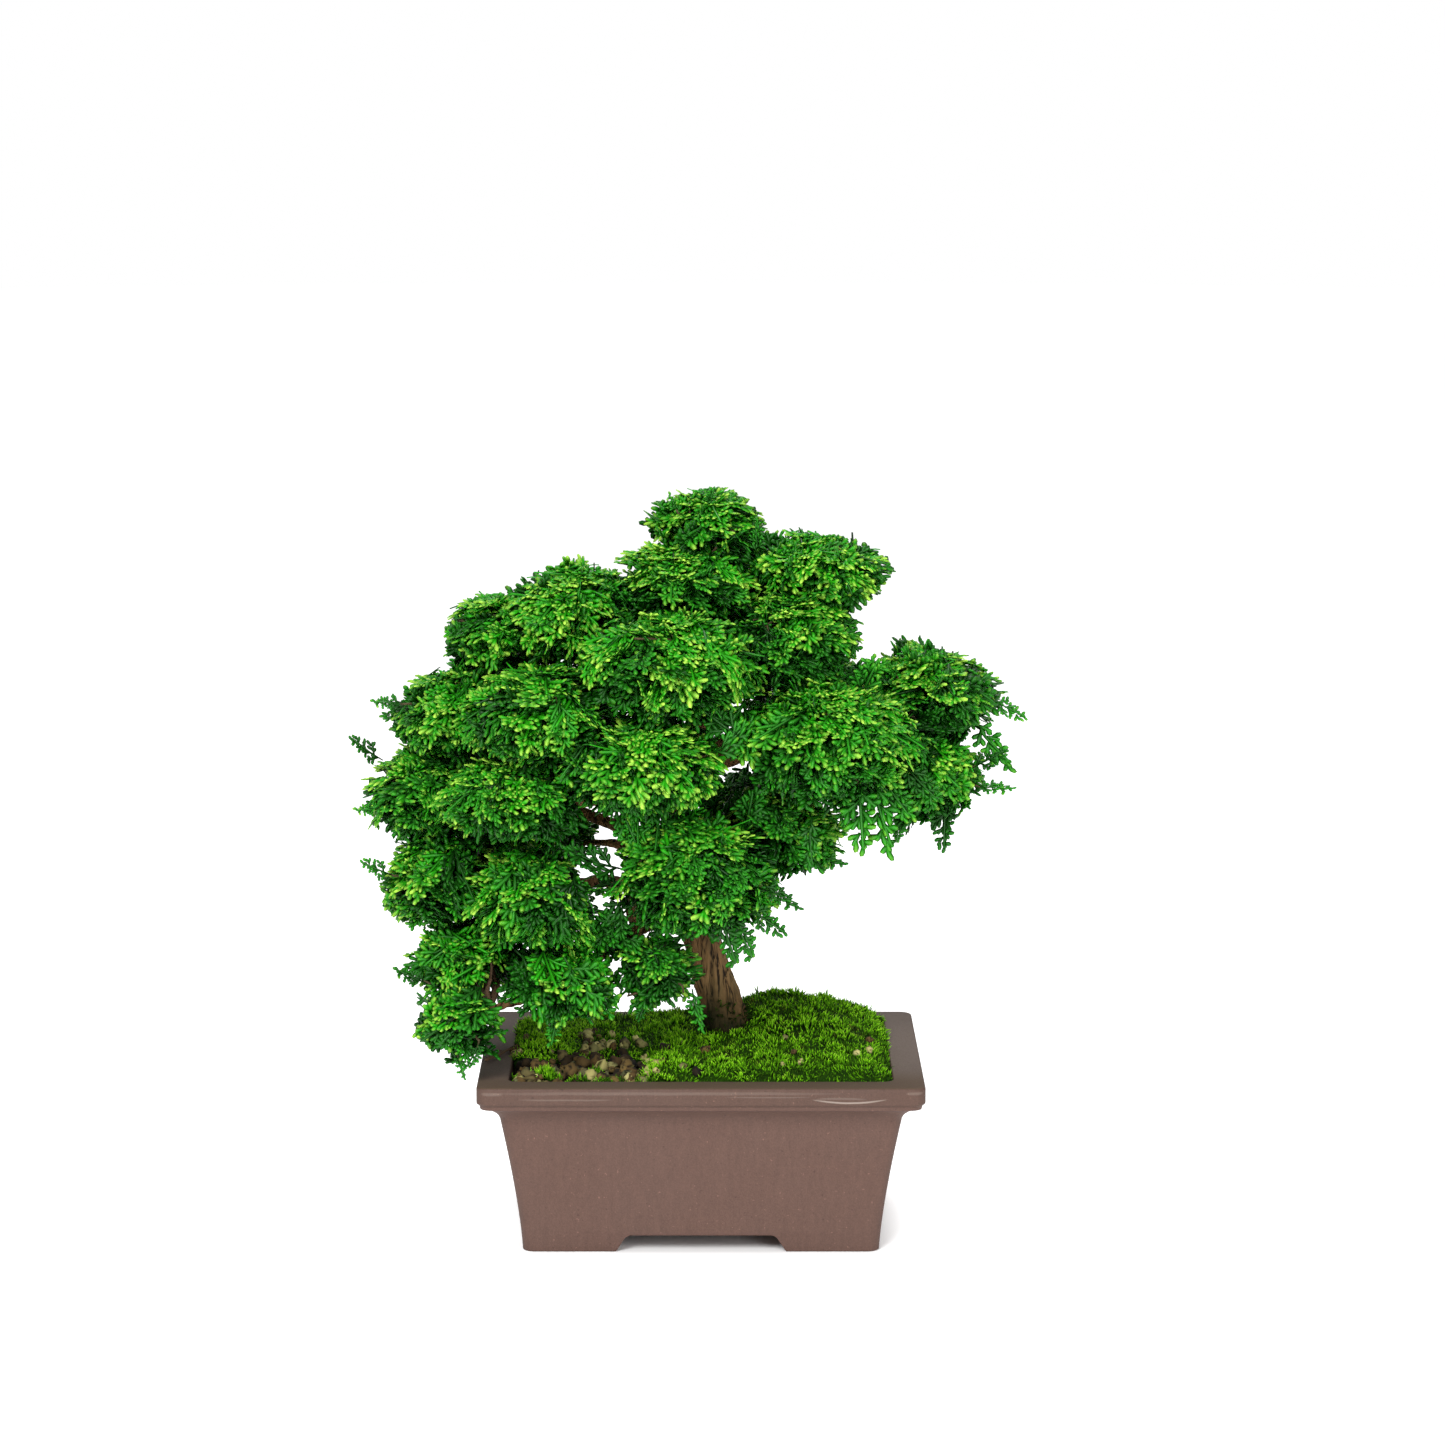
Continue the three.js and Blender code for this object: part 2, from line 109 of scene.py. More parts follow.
def colour_setting(name, description, default):
    return FloatVectorProperty(
        name=name, description=description, default=default, subtype="COLOR", min=0, max=1
    )


class PotSettings(bpy.types.PropertyGroup):
    """Sizes and colour of the stoneware pot."""

    rim_band: length_setting("Rim band", "Width of the flat top of the rim", 0.014)
    rim_height: length_setting("Rim height", "Height of the rim's upright face", 0.0085)
    cove_height: length_setting("Cove height", "Height of the hollow curve under the rim", 0.0076)
    neck_inset: length_setting("Neck inset", "Top of the body, in from the rim", 0.0098)
    foot_inset: length_setting("Foot inset", "Bottom of the body, in from the rim", 0.0195)
    flare: FloatProperty(name="Flare", description="How far the side curves from neck to foot", default=1.35)
    corner: length_setting("Corner", "Plan radius of every corner", 0.005)
    wall: length_setting("Wall", "Thickness of the pot's wall", 0.0065)
    floor: length_setting("Floor", "Thickness of the pot's floor", 0.007)
    foot_height: length_setting("Foot height", "Height of the feet", 0.0078)
    clay: colour_setting("Clay", "Colour of the fired clay", (0.086, 0.0455, 0.034))


class LeafSettings(bpy.types.PropertyGroup):
    """Size, number and colours of the leaf sprays."""

    length: length_setting("Spray length", "Length of a common spray", 0.027)
    finger: length_setting("Finger width", "Width of one scaly finger", 0.0023)
    spacing: length_setting("Spacing", "Distance between neighbouring sprays", 0.0076)
    templates: IntProperty(name="Kinds", description="How many different sprays there are", default=14, min=2)
    old_leaf: colour_setting("Old leaf", "Colour of the oldest scales", (0.003, 0.045, 0.001))
    leaf: colour_setting("Leaf", "Colour of grown scales", (0.010, 0.155, 0.002))
    new_leaf: colour_setting("New leaf", "Colour of this year's tips", (0.42, 0.80, 0.07))


class WoodSettings(bpy.types.PropertyGroup):
    """Detail and colour of the bark."""

    detail: length_setting("Detail", "Size of the bark's facets", 0.0009)
    furrow: length_setting("Furrow", "Depth of the furrows", 0.0016)
    bark: colour_setting("Bark", "Colour of the bark", (0.25, 0.135, 0.055))


class GroundSettings(bpy.types.PropertyGroup):
    """Moss and grit."""

    shoot_spacing: length_setting("Shoot spacing", "Distance between moss shoots", 0.00135)
    shoot_height: length_setting("Shoot height", "Height of a moss shoot", 0.0030)
    moss: colour_setting("Moss", "Colour of moss tips", (0.16, 0.38, 0.006))
    grit_count: IntProperty(name="Grit", description="Number of loose granules", default=230, min=1)
    grit_size: length_setting("Grit size", "Size of a large granule", 0.0064)


# ---------------------------------------------------------------- meshes


class Pile:
    """Collects small meshes, each with a two-number mark on every point, and joins them into one."""

    def __init__(self):
        self.points = []
        self.marks = []
        self.faces = {3: [], 4: []}
        self.count = 0

    def add(self, points, marks, quads=None, triangles=None):
        for size, faces in ((4, quads), (3, triangles)):
            if faces is not None and len(faces):
                self.faces[size].append(np.asarray(faces) + self.count)
        self.points.append(np.asarray(points, float))
        self.marks.append(np.asarray(marks, float))
        self.count += len(points)

    def arrays(self):
        quads = np.concatenate(self.faces[4]) if self.faces[4] else np.zeros((0, 4), int)
        triangles = np.concatenate(self.faces[3]) if self.faces[3] else np.zeros((0, 3), int)
        return np.concatenate(self.points), np.concatenate(self.marks), quads, triangles


def mesh_object(name, points, marks, quads, triangles, smooth=True):
    """A new object from arrays. The marks become its UV map, which its material reads for colour."""
    mesh = bpy.data.meshes.new(name)
    mesh.vertices.add(len(points))
    mesh.vertices.foreach_set("co", np.asarray(points, np.float32).ravel())
    corners = np.concatenate([np.asarray(quads).ravel(), np.asarray(triangles).ravel()]).astype(np.int32)
    sizes = np.concatenate([np.full(len(quads), 4), np.full(len(triangles), 3)]).astype(np.int32)
    starts = np.concatenate([[0], np.cumsum(sizes)[:-1]]).astype(np.int32)
    mesh.loops.add(len(corners))
    mesh.loops.foreach_set("vertex_index", corners)
    mesh.polygons.add(len(sizes))
    mesh.polygons.foreach_set("loop_start", starts)
    mesh.polygons.foreach_set("use_smooth", np.full(len(sizes), smooth))
    if marks is not None:
        layer = mesh.uv_layers.new(name=LEAF_MAP)
        layer.data.foreach_set("uv", np.asarray(marks, np.float32)[corners].ravel())
    mesh.update(calc_edges=True)
    mesh.validate()
    made = bpy.data.objects.new(name, mesh)
    bpy.context.scene.collection.objects.link(made)
    return made


def settle(piece, material, nodes=()):
    """Gives a finished piece its material and its place in the frame, and hides the CAD nodes it stands for.
    """
    piece.data.materials.clear()
    piece.data.materials.append(material)
    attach(piece, BODY)
    if nodes:
        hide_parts(*nodes)


def node_mesh(name):
    """Vertices and triangles of a CAD node."""
    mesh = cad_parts[name].data
    mesh.calc_loop_triangles()
    points = np.zeros(len(mesh.vertices) * 3, np.float32)
    mesh.vertices.foreach_get("co", points)
    triangles = np.zeros(len(mesh.loop_triangles) * 3, np.int32)
    mesh.loop_triangles.foreach_get("vertices", triangles)
    return points.reshape(-1, 3).astype(float), triangles.reshape(-1, 3)


def node_tree(name):
    points, triangles = node_mesh(name)
    return BVHTree.FromPolygons(points.tolist(), triangles.tolist())


def scatter(points, triangles, spacing, rng, crowding=6.0):
    """Points spread over a surface at about the spacing given, with the normal at each."""
    a, b, c = (points[triangles[:, i]] for i in range(3))
    cross = np.cross(b - a, c - a)
    area = np.linalg.norm(cross, axis=1) / 2
    tries = int(area.sum() / spacing**2 * crowding)
    pick = rng.choice(len(triangles), tries, p=area / area.sum())
    r, s = np.sqrt(rng.random(tries))[:, None], rng.random(tries)[:, None]
    places = (1 - r) * a[pick] + r * (1 - s) * b[pick] + r * s * c[pick]
    normals = cross[pick] / (2 * area[pick])[:, None]
    cells, kept = {}, []
    keys = np.floor(places / spacing).astype(int)
    for i in range(tries):
        x, y, z = keys[i]
        near = (
            j
            for dx in (-1, 0, 1)
            for dy in (-1, 0, 1)
            for dz in (-1, 0, 1)
            for j in cells.get((x + dx, y + dy, z + dz), ())
        )
        if all(((places[i] - places[j]) ** 2).sum() > spacing**2 for j in near):
            cells.setdefault((x, y, z), []).append(i)
            kept.append(i)
    return places[kept], normals[kept]


def unit(v):
    v = np.asarray(v, float)
    return v / np.maximum(np.linalg.norm(v, axis=-1, keepdims=True), 1e-12)


def smoothstep(value, low, high):
    t = np.clip((value - low) / (high - low), 0, 1)
    return t * t * (3 - 2 * t)


# ---------------------------------------------------------------- materials


class Nodes:
    """Short calls for building a material's node tree."""

    def __init__(self, name):
        self.material = bpy.data.materials.new(name)
        self.material.use_nodes = True
        self.tree = self.material.node_tree
        self.shader = self.tree.nodes["Principled BSDF"]

    def new(self, kind, **values):
        node = self.tree.nodes.new(kind)
        for key, value in values.items():
            setattr(node, key, value)
        return node

    def link(self, source, target):
        self.tree.links.new(source, target)

    def set(self, **values):
        for key, value in values.items():
            self.shader.inputs[key.replace("_", " ")].default_value = value

    def place(self):
        return self.new("ShaderNodeTexCoord").outputs["Object"]

    def split(self, vector):
        """The three parts of a vector."""
        node = self.new("ShaderNodeSeparateXYZ")
        self.link(vector, node.inputs["Vector"])
        return tuple(node.outputs)

    def noise(self, scale, detail=4.0, roughness=0.55, stretch=(1, 1, 1), distortion=0.0):
        mapping = self.new("ShaderNodeMapping")
        mapping.inputs["Scale"].default_value = stretch
        self.link(self.place(), mapping.inputs["Vector"])
        texture = self.new("ShaderNodeTexNoise")
        texture.inputs["Scale"].default_value = scale
        texture.inputs["Detail"].default_value = detail
        texture.inputs["Roughness"].default_value = roughness
        texture.inputs["Distortion"].default_value = distortion
        self.link(mapping.outputs["Vector"], texture.inputs["Vector"])
        return texture.outputs["Fac"]

    def ramp(self, value, *stops):
        node = self.new("ShaderNodeValToRGB")
        elements = node.color_ramp.elements
        while len(elements) < len(stops):
            elements.new(1.0)
        for element, (position, colour) in zip(elements, stops):
            element.position = position
            element.color = (*colour, 1) if hasattr(colour, "__len__") else (colour, colour, colour, 1)
        self.link(value, node.inputs["Fac"])
        return node.outputs["Color"]

    def mix(self, factor, first, second, blend="MIX"):
        node = self.new("ShaderNodeMix", data_type="RGBA", blend_type=blend)
        for name, value in (("Factor", factor), ("A", first), ("B", second)):
            socket = node.inputs[name]
            if isinstance(value, bpy.types.NodeSocket):
                self.link(value, socket)
            else:
                socket.default_value = value if socket.type == "VALUE" else (*value, 1)
        return node.outputs["Result"]

    def math(self, operation, first, second=0.5, third=0.5):
        node = self.new("ShaderNodeMath", operation=operation)
        for socket, value in zip(node.inputs, (first, second, third)):
            if isinstance(value, bpy.types.NodeSocket):
                self.link(value, socket)
            else:
                socket.default_value = value
        return node.outputs["Value"]

    def bump(self, height, strength, distance):
        node = self.new("ShaderNodeBump")
        node.inputs["Strength"].default_value = strength
        node.inputs["Distance"].default_value = distance
        self.link(height, node.inputs["Height"])
        self.link(node.outputs["Normal"], self.shader.inputs["Normal"])

    def colour(self, socket):
        self.link(socket, self.shader.inputs["Base Color"])

    def roughness(self, socket):
        self.link(socket, self.shader.inputs["Roughness"])

    def marks(self):
        """The two marks on every point: growth along the piece, and a tint that holds its tone and, in
        places, painted shade and light.
        """
        uv = self.new("ShaderNodeUVMap", uv_map=LEAF_MAP)
        return self.split(uv.outputs["UV"])[:2]


def shade(colour, factor):
    return tuple(min(1.0, max(0.0, part * factor)) for part in colour)


def leaf_material(settings):
    """Scales run from old green to lime tips; the tint runs from deep shade through dull to sunny sprays."""
    nodes = Nodes("hinoki_leaf")
    growth, tint = nodes.marks()
    old, grown, new = (tuple(settings.old_leaf), tuple(settings.leaf), tuple(settings.new_leaf))
    dull = (grown[0] * 1.6, grown[1] * 0.72, grown[2] * 5.0)
    shady = nodes.ramp(growth, (0.0, shade(old, 0.35)), (0.6, shade(old, 0.9)), (1.0, shade(grown, 0.8)))
    fading = shade(new, 0.55)
    plain = nodes.ramp(growth, (0.0, shade(old, 0.7)), (0.45, dull), (0.8, shade(grown, 1.5)), (1.0, fading))
    bright = shade(grown, 1.9)
    sunny = nodes.ramp(growth, (0.0, old), (0.3, grown), (0.62, bright), (0.85, fading), (1.0, new))
    mixed = nodes.mix(nodes.ramp(tint, (0.32, 0.0), (0.6, 1.0)), plain, sunny)
    nodes.colour(nodes.mix(nodes.ramp(tint, (0.08, 0.0), (0.34, 1.0)), shady, mixed))
    nodes.set(Roughness=0.42, Specular_IOR_Level=0.2)
    return nodes.material


def twig_material(settings):
    nodes = Nodes("twig_bark")
    growth, tint = nodes.marks()
    bark = tuple(settings.bark)
    brown = nodes.ramp(growth, (0.0, shade(bark, 0.4)), (0.6, shade(bark, 0.38)), (1.0, (0.025, 0.06, 0.008)))
    nodes.colour(nodes.mix(tint, shade(bark, 0.25), brown))
    nodes.set(Roughness=0.85)
    return nodes.material


def bark_material(settings):
    """Long brown fibres with near-black furrows, grey-green in patches."""
    nodes = Nodes("hinoki_bark")
    bark = tuple(settings.bark)
    furrows = nodes.noise(330, 4, 0.6, (1, 1, 0.16), 1.2)
    plates = nodes.noise(130, 5, 0.6, (1, 1, 0.25), 0.8)
    patches = nodes.noise(45, 3, 0.5, (1, 1, 0.5))
    stops = ((0.35, 0.3), (0.5, 0.85), (0.6, 1.0), (0.72, 1.7))
    base = nodes.ramp(plates, *((position, shade(bark, factor)) for position, factor in stops))
    grey = nodes.ramp(patches, (0.5, 0.0), (0.7, 0.4))
    base = nodes.mix(grey, base, (0.13, 0.115, 0.05))
    cracks = nodes.ramp(furrows, (0.38, 1.0), (0.48, 0.0))
    base = nodes.mix(cracks, base, (0.014, 0.008, 0.004))
    height = nodes.math("MULTIPLY_ADD", patches, -0.03, nodes.split(nodes.place())[2])
    foot = nodes.math("DIVIDE", nodes.math("SUBTRACT", height, RIM_TOP - 0.004), 0.02)
    nodes.colour(nodes.mix(nodes.ramp(foot, (0.0, 0.92), (1.0, 0.0)), base, (0.010, 0.012, 0.003)))
    nodes.set(Roughness=0.85, Specular_IOR_Level=0.15)
    nodes.bump(nodes.mix(0.5, relief(nodes, furrows), relief(nodes, plates)), 1.0, 0.0016)
    return nodes.material


def relief(nodes, value):
    """A noise with its contrast raised, as a grey colour for mixing."""
    return nodes.ramp(value, (0.25, 0.0), (0.75, 1.0))


def clay_material(settings):
    """Unglazed brown stoneware: grainy, with a greyer rim top in painted shading and painted shade along the
    rim's front.
    """
    nodes = Nodes("unglazed_stoneware")
    clay = tuple(settings.clay)
    cloud = nodes.noise(14, 4, 0.6)
    grain = nodes.noise(1300, 3, 0.75)
    specks = nodes.noise(620, 2, 0.5)
    streaks = nodes.noise(420, 4, 0.6, (1, 1, 0.12))
    base = nodes.mix(cloud, shade(clay, 0.92), shade(clay, 1.08))
    grained = nodes.mix(nodes.ramp(grain, (0.38, 0.0), (0.62, 1.0)), shade(clay, 0.66), shade(clay, 1.3))
    base = nodes.mix(0.5, base, grained)
    streaked = nodes.mix(nodes.ramp(streaks, (0.35, 0.0), (0.65, 1.0)), shade(clay, 0.8), shade(clay, 1.16))
    base = nodes.mix(0.3, base, streaked)
    pale = nodes.ramp(specks, (0.26, 0.5), (0.31, 0.0))
    base = nodes.mix(pale, base, shade(clay, 2.4))
    dark = nodes.ramp(specks, (0.68, 0.0), (0.74, 0.5))
    base = nodes.mix(dark, base, shade(clay, 0.4))
    geometry = nodes.new("ShaderNodeNewGeometry")
    # Faces turned up get a paler, greyer rim tone: painted shading set by their facing, with the clay's grain
    # in it.
    top_facing_shading = nodes.ramp(nodes.split(geometry.outputs["Normal"])[2], (0.7, 0.0), (0.95, 0.75))
    _, y, z = nodes.split(nodes.place())
    # The rim top is painted darker along its front: painted shade from the foliage and moss above it.
    behind = nodes.math("SUBTRACT", y, POT_LOW.y + settings.rim_band)
    front_rim_shade = nodes.ramp(nodes.math("DIVIDE", behind, 0.02), (0.0, 1.0), (1.0, 0.0))
    rim = nodes.mix(nodes.ramp(grain, (0.4, 0.0), (0.6, 1.0)), (0.110, 0.083, 0.068), (0.150, 0.114, 0.094))
    rim = nodes.mix(front_rim_shade, rim, (0.100, 0.067, 0.042))
    base = nodes.mix(top_facing_shading, base, rim)
    lip = nodes.math("GREATER_THAN", z, RIM_TOP - settings.rim_height - 0.0005)
    lip = nodes.math("MULTIPLY", lip, nodes.math("SUBTRACT", 1.0, top_facing_shading))
    base = nodes.mix(lip, base, (0.86, 0.87, 0.84), "MULTIPLY")
    base = add_wear_and_sheen(nodes, base, settings)
    nodes.colour(base)
    nodes.roughness(nodes.ramp(cloud, (0.3, 0.62), (0.7, 0.78)))
    nodes.set(Specular_IOR_Level=0.35)
    nodes.bump(grain, 0.25, 0.0004)
    return nodes.material


def add_wear_and_sheen(nodes, base, settings):
    """Chalky smears and scratches on the rim's front face and the body, and a painted highlight band high on
    the rim's face.
    """
    x, y, z = nodes.split(nodes.place())
    wobble = nodes.noise(60, 3, 0.6)
    front = nodes.math("LESS_THAN", y, POT_LOW.y + settings.neck_inset)

    def smear_and_sheen(centre_x, centre_z, half_length, half_height, sag, strength, colour):
        nonlocal base
        along = nodes.math("DIVIDE", nodes.math("SUBTRACT", x, centre_x), half_length)
        bow = nodes.math("MULTIPLY", nodes.math("MULTIPLY", along, along), sag)
        height = nodes.math("SUBTRACT", nodes.math("SUBTRACT", z, centre_z), bow)
        ragged = nodes.math("MULTIPLY", nodes.math("SUBTRACT", wobble, 0.5), half_height)
        height = nodes.math("ADD", height, ragged)
        across = nodes.math("DIVIDE", height, half_height)
        ends = nodes.math("POWER", nodes.math("ABSOLUTE", along), 4.0)
        reach = nodes.math("ADD", ends, nodes.math("MULTIPLY", across, across))
        mask = nodes.ramp(reach, (0.0, strength), (0.75, strength * 0.35), (1.0, 0.0))
        mask = nodes.math("MULTIPLY", mask, front)
        base = nodes.mix(mask, base, colour)

    half = (POT_HIGH.x - POT_LOW.x) / 2
    chalk_and_sheen = (0.30, 0.25, 0.21)
    scar = (0.03, 0.02, 0.016)
    mid = RIM_TOP - settings.rim_height * 0.5
    body = RIM_TOP - settings.rim_height
    # Each mark: place along half the pot, height, half length, half thickness, sag, strength and colour.
    marks = (
        (0.66, mid - 0.0022, 0.17, 0.0005, 0.0016, 0.7, chalk_and_sheen),
        (0.62, mid - 0.0002, 0.12, 0.0006, -0.0004, 0.16, chalk_and_sheen),
        (0.30, mid + 0.0003, 0.20, 0.0004, 0.0002, 0.14, chalk_and_sheen),
        # A long pale band high on the rim's face: a painted highlight.
        (-0.15, mid + 0.0020, 0.80, 0.0009, 0.0, 0.14, chalk_and_sheen),
        (-0.60, mid - 0.0010, 0.22, 0.0005, 0.0003, 0.16, chalk_and_sheen),
        (-0.93, mid + 0.0016, 0.05, 0.0009, 0.0, 0.18, chalk_and_sheen),
        (0.95, mid + 0.0020, 0.04, 0.0008, 0.0, 0.18, chalk_and_sheen),
        (0.10, body - 0.016, 0.012, 0.0004, 0.0002, 0.55, chalk_and_sheen),
        (-0.72, body - 0.036, 0.014, 0.0003, -0.0003, 0.7, scar),
        (-0.65, POT_LOW.z + 0.0125, 0.015, 0.0007, 0.0004, 0.4, chalk_and_sheen),
        (0.42, body - 0.028, 0.03, 0.0004, 0.0006, 0.18, chalk_and_sheen),
        (-0.30, body - 0.022, 0.025, 0.0003, 0.0004, 0.2, scar),
    )
    for across, height, reach, thickness, sag, strength, colour in marks:
        smear_and_sheen(POT_X + half * across, height, half * reach, thickness, sag, strength, colour)
    return base


def moss_material(settings):
    """Shoots run from near-black feet to lime tips; the tint runs from old olive to fresh green."""
    nodes = Nodes("moss")
    growth, tint = nodes.marks()
    moss = tuple(settings.moss)
    green = (moss[0] * 0.75, moss[1] * 1.05, moss[2] * 0.6)
    fresh = nodes.ramp(
        growth,
        (0.0, (0.0015, 0.009, 0.0004)),
        (0.35, shade(green, 0.22)),
        (0.65, shade(green, 0.85)),
        (0.82, shade(moss, 1.8)),
        (1.0, (0.52, 0.78, 0.12)),
    )
    old = nodes.ramp(
        growth,
        (0.0, (0.003, 0.004, 0.001)),
        (0.5, (0.035, 0.07, 0.003)),
        (1.0, (0.28, 0.29, 0.04)),
    )
    nodes.colour(nodes.mix(nodes.ramp(tint, (0.1, 0.0), (0.4, 1.0)), old, fresh))
    nodes.set(Roughness=0.8, Specular_IOR_Level=0.08)
    return nodes.material


def grit_material():
    """Porous grains: the tint runs from black crumbs through brown and grey-green to cream."""
    nodes = Nodes("grit")
    mottle, tint = nodes.marks()
    kinds = nodes.ramp(
        tint,
        (0.0, (0.006, 0.004, 0.001)),
        (0.2, (0.045, 0.025, 0.007)),
        (0.42, (0.12, 0.075, 0.020)),
        (0.6, (0.085, 0.088, 0.035)),
        (0.74, (0.27, 0.24, 0.08)),
        (1.0, (0.52, 0.48, 0.19)),
    )
    dark = nodes.mix(1.0, kinds, (0.12, 0.11, 0.05), "MULTIPLY")
    nodes.colour(nodes.mix(nodes.ramp(mottle, (0.2, 0.0), (0.55, 1.0)), dark, kinds))
    nodes.set(Roughness=0.9, Specular_IOR_Level=0.3)
    return nodes.material


def soil_material():
    nodes = Nodes("moist_soil")
    lumps = nodes.noise(330, 5, 0.65)
    stops = ((0.3, (0.008, 0.005, 0.003)), (0.55, (0.035, 0.022, 0.012)), (0.8, (0.11, 0.075, 0.04)))
    nodes.colour(nodes.ramp(lumps, *stops))
    nodes.set(Roughness=0.95)
    nodes.bump(lumps, 1.0, 0.002)
    return nodes.material


def mesh_plastic_material():
    nodes = Nodes("drain_mesh")
    scuffs = nodes.noise(900, 3, 0.6)
    nodes.colour(nodes.ramp(scuffs, (0.3, (0.010, 0.010, 0.011)), (0.8, (0.035, 0.035, 0.037))))
    nodes.roughness(nodes.ramp(scuffs, (0.3, 0.45), (0.8, 0.7)))
    nodes.bump(scuffs, 0.3, 0.0002)
    return nodes.material


def wire_material():
    nodes = Nodes("copper_coloured_wire")
    tarnish = nodes.noise(420, 4, 0.6)
    nodes.colour(nodes.ramp(tarnish, (0.3, (0.30, 0.14, 0.07)), (0.75, (0.62, 0.36, 0.22))))
    nodes.roughness(nodes.ramp(tarnish, (0.3, 0.55), (0.75, 0.3)))
    nodes.set(Metallic=1.0)
    nodes.bump(tarnish, 0.2, 0.0001)
    return nodes.material


# ---------------------------------------------------------------- pot


def rounded_rectangle(half_x, half_y, corner, segments):
    """Points anticlockwise round a rectangle with round corners."""
    points = []
    for index, (sx, sy) in enumerate(((1, 1), (-1, 1), (-1, -1), (1, -1))):
        for step in range(segments + 1):
            angle = (index + step / segments) * math.pi / 2
            x = sx * (half_x - corner) + corner * math.cos(angle)
            y = sy * (half_y - corner) + corner * math.sin(angle)
            points.append((POT_X + x, POT_Y + y))
    return points


def neck_height(settings):
    """Where the pot's body meets the cove."""
    return RIM_TOP - settings.rim_height - settings.cove_height


def body_inset(settings, z):
    """How far the body stands in from the rim at a height."""
    share = min(1.0, max(0.0, z / neck_height(settings))) ** settings.flare
    return settings.foot_inset + (settings.neck_inset - settings.foot_inset) * share


def outside_profile(settings):
    """(height, inset) up the outside of the pot, from the bottom edge to the top of the rim."""
    neck = neck_height(settings)
    rim_low = RIM_TOP - settings.rim_height
    foot_round, lip, lip_round, rim_round = 0.0007, 0.0016, 0.0014, 0.0011
    profile = []
    for angle in np.linspace(0, 1.4, 4):
        inset = body_inset(settings, 0) + foot_round * (1 - math.sin(angle))
        profile.append((foot_round * (1 - math.cos(angle)), inset))
    profile += [(z, body_inset(settings, z)) for z in np.linspace(foot_round * 1.4, neck - 4 * MM, 14)]
    cove_low = neck - 2.2 * MM
    cove_high = neck + settings.cove_height * 0.74
    low_inset = body_inset(settings, cove_low)
    for angle in np.linspace(0, math.pi / 2, 9):
        z = cove_low + (cove_high - cove_low) * math.sin(angle)
        profile.append((z, lip + (low_inset - lip) * math.cos(angle) ** 1.5))
    for angle in np.linspace(0.3, math.pi / 2, 5):
        profile.append((rim_low + lip_round * (1 - math.cos(angle)), lip * (1 - math.sin(angle))))
    profile += [(z, 0.0) for z in np.linspace(rim_low + 2 * MM, RIM_TOP - 1.2 * MM, 3)]
    for angle in np.linspace(0.2, math.pi / 2, 5):
        profile.append((RIM_TOP - rim_round * (1 - math.sin(angle)), rim_round * (1 - math.cos(angle))))
    return profile


def inside_profile(settings):
    """(height, inset) down the inside, from the inner edge of the rim to the floor."""
    floor = settings.foot_height + settings.floor
    neck = neck_height(settings)
    edge = 0.0009
    profile = []
    for angle in np.linspace(0, math.pi / 2, 4):
        inset = settings.rim_band - edge + edge * math.sin(angle)
        profile.append((RIM_TOP - edge + edge * math.cos(angle), inset))
    wall_top = RIM_TOP - edge - 0.4 * MM
    neck_in = body_inset(settings, neck) + settings.wall
    for share in np.linspace(0, 1, 4):
        inset = settings.rim_band + (neck_in - settings.rim_band) * share
        profile.append((wall_top + (neck - wall_top) * share, inset))
    for z in np.linspace(neck - 4 * MM, floor, 7):
        profile.append((z, body_inset(settings, z) + settings.wall))
    return profile


def loft(profile, corner, segments):
    """One closed skin of rings, with flat ends."""
    half_x, half_y = (POT_HIGH.x - POT_LOW.x) / 2, (POT_HIGH.y - POT_LOW.y) / 2
    made = bmesh.new()
    rings = []
    for z, inset in profile:
        outline = rounded_rectangle(half_x - inset, half_y - inset, corner, segments)
        rings.append([made.verts.new((x, y, z)) for x, y in outline])
    count = len(rings[0])
    for low, high in zip(rings, rings[1:]):
        for i in range(count):
            made.faces.new((low[i], low[(i + 1) % count], high[(i + 1) % count], high[i]))
    made.faces.new(list(reversed(rings[0])))
    made.faces.new(rings[-1])
    bmesh.ops.recalc_face_normals(made, faces=made.faces)
    return made


def scratch_object(name, made):
    mesh = bpy.data.meshes.new(name)
    made.to_mesh(mesh)
    made.free()
    piece = bpy.data.objects.new(name, mesh)
    bpy.context.scene.collection.objects.link(piece)
    return piece


def arch_cutter(name, top_width, run, along_x, settings):
    """A bar with sloping sides, standing for the gap between two feet."""
    splay = 0.005
    round_off = 0.0012
    half = top_width / 2
    height = settings.foot_height
    low = half + splay * (1 + MM / height)
    right = [(low, -MM), (half + round_off * 0.6, height - round_off), (half - round_off, height)]
    section = [(-low, -MM), *right, *((-across, z) for across, z in right[:0:-1])]
    made = bmesh.new()
    ends = []
    for side in (-run, run):
        ring = []
        for across, z in section:
            x, y = (side, across) if along_x else (across, side)
            ring.append(made.verts.new((POT_X + x, POT_Y + y, z)))
        ends.append(ring)
    count = len(section)
    for i in range(count):
        made.faces.new((ends[0][i], ends[0][(i + 1) % count], ends[1][(i + 1) % count], ends[1][i]))
    made.faces.new(ends[0])
    made.faces.new(ends[1])
    bmesh.ops.recalc_face_normals(made, faces=made.faces)
    return scratch_object(name, made)


def hole_cutter(name, x, radius, height):
    made = bmesh.new()
    bmesh.ops.create_cone(made, cap_ends=True, segments=48, radius1=radius, radius2=radius, depth=height)
    bmesh.ops.translate(made, verts=made.verts, vec=(x, POT_Y, 0))
    return scratch_object(name, made)


def cut(piece, cutter):
    """Cuts one object by another and removes the cutter."""
    modifier = piece.modifiers.new("cut", "BOOLEAN")
    modifier.operation = "DIFFERENCE"
    modifier.solver = "EXACT"
    modifier.object = cutter
    apply_modifiers(piece)
    bpy.data.objects.remove(cutter)


def apply_modifiers(piece):
    graph = bpy.context.evaluated_depsgraph_get()
    mesh = bpy.data.meshes.new_from_object(piece.evaluated_get(graph))
    old = piece.data
    piece.modifiers.clear()
    piece.data = mesh
    bpy.data.meshes.remove(old)


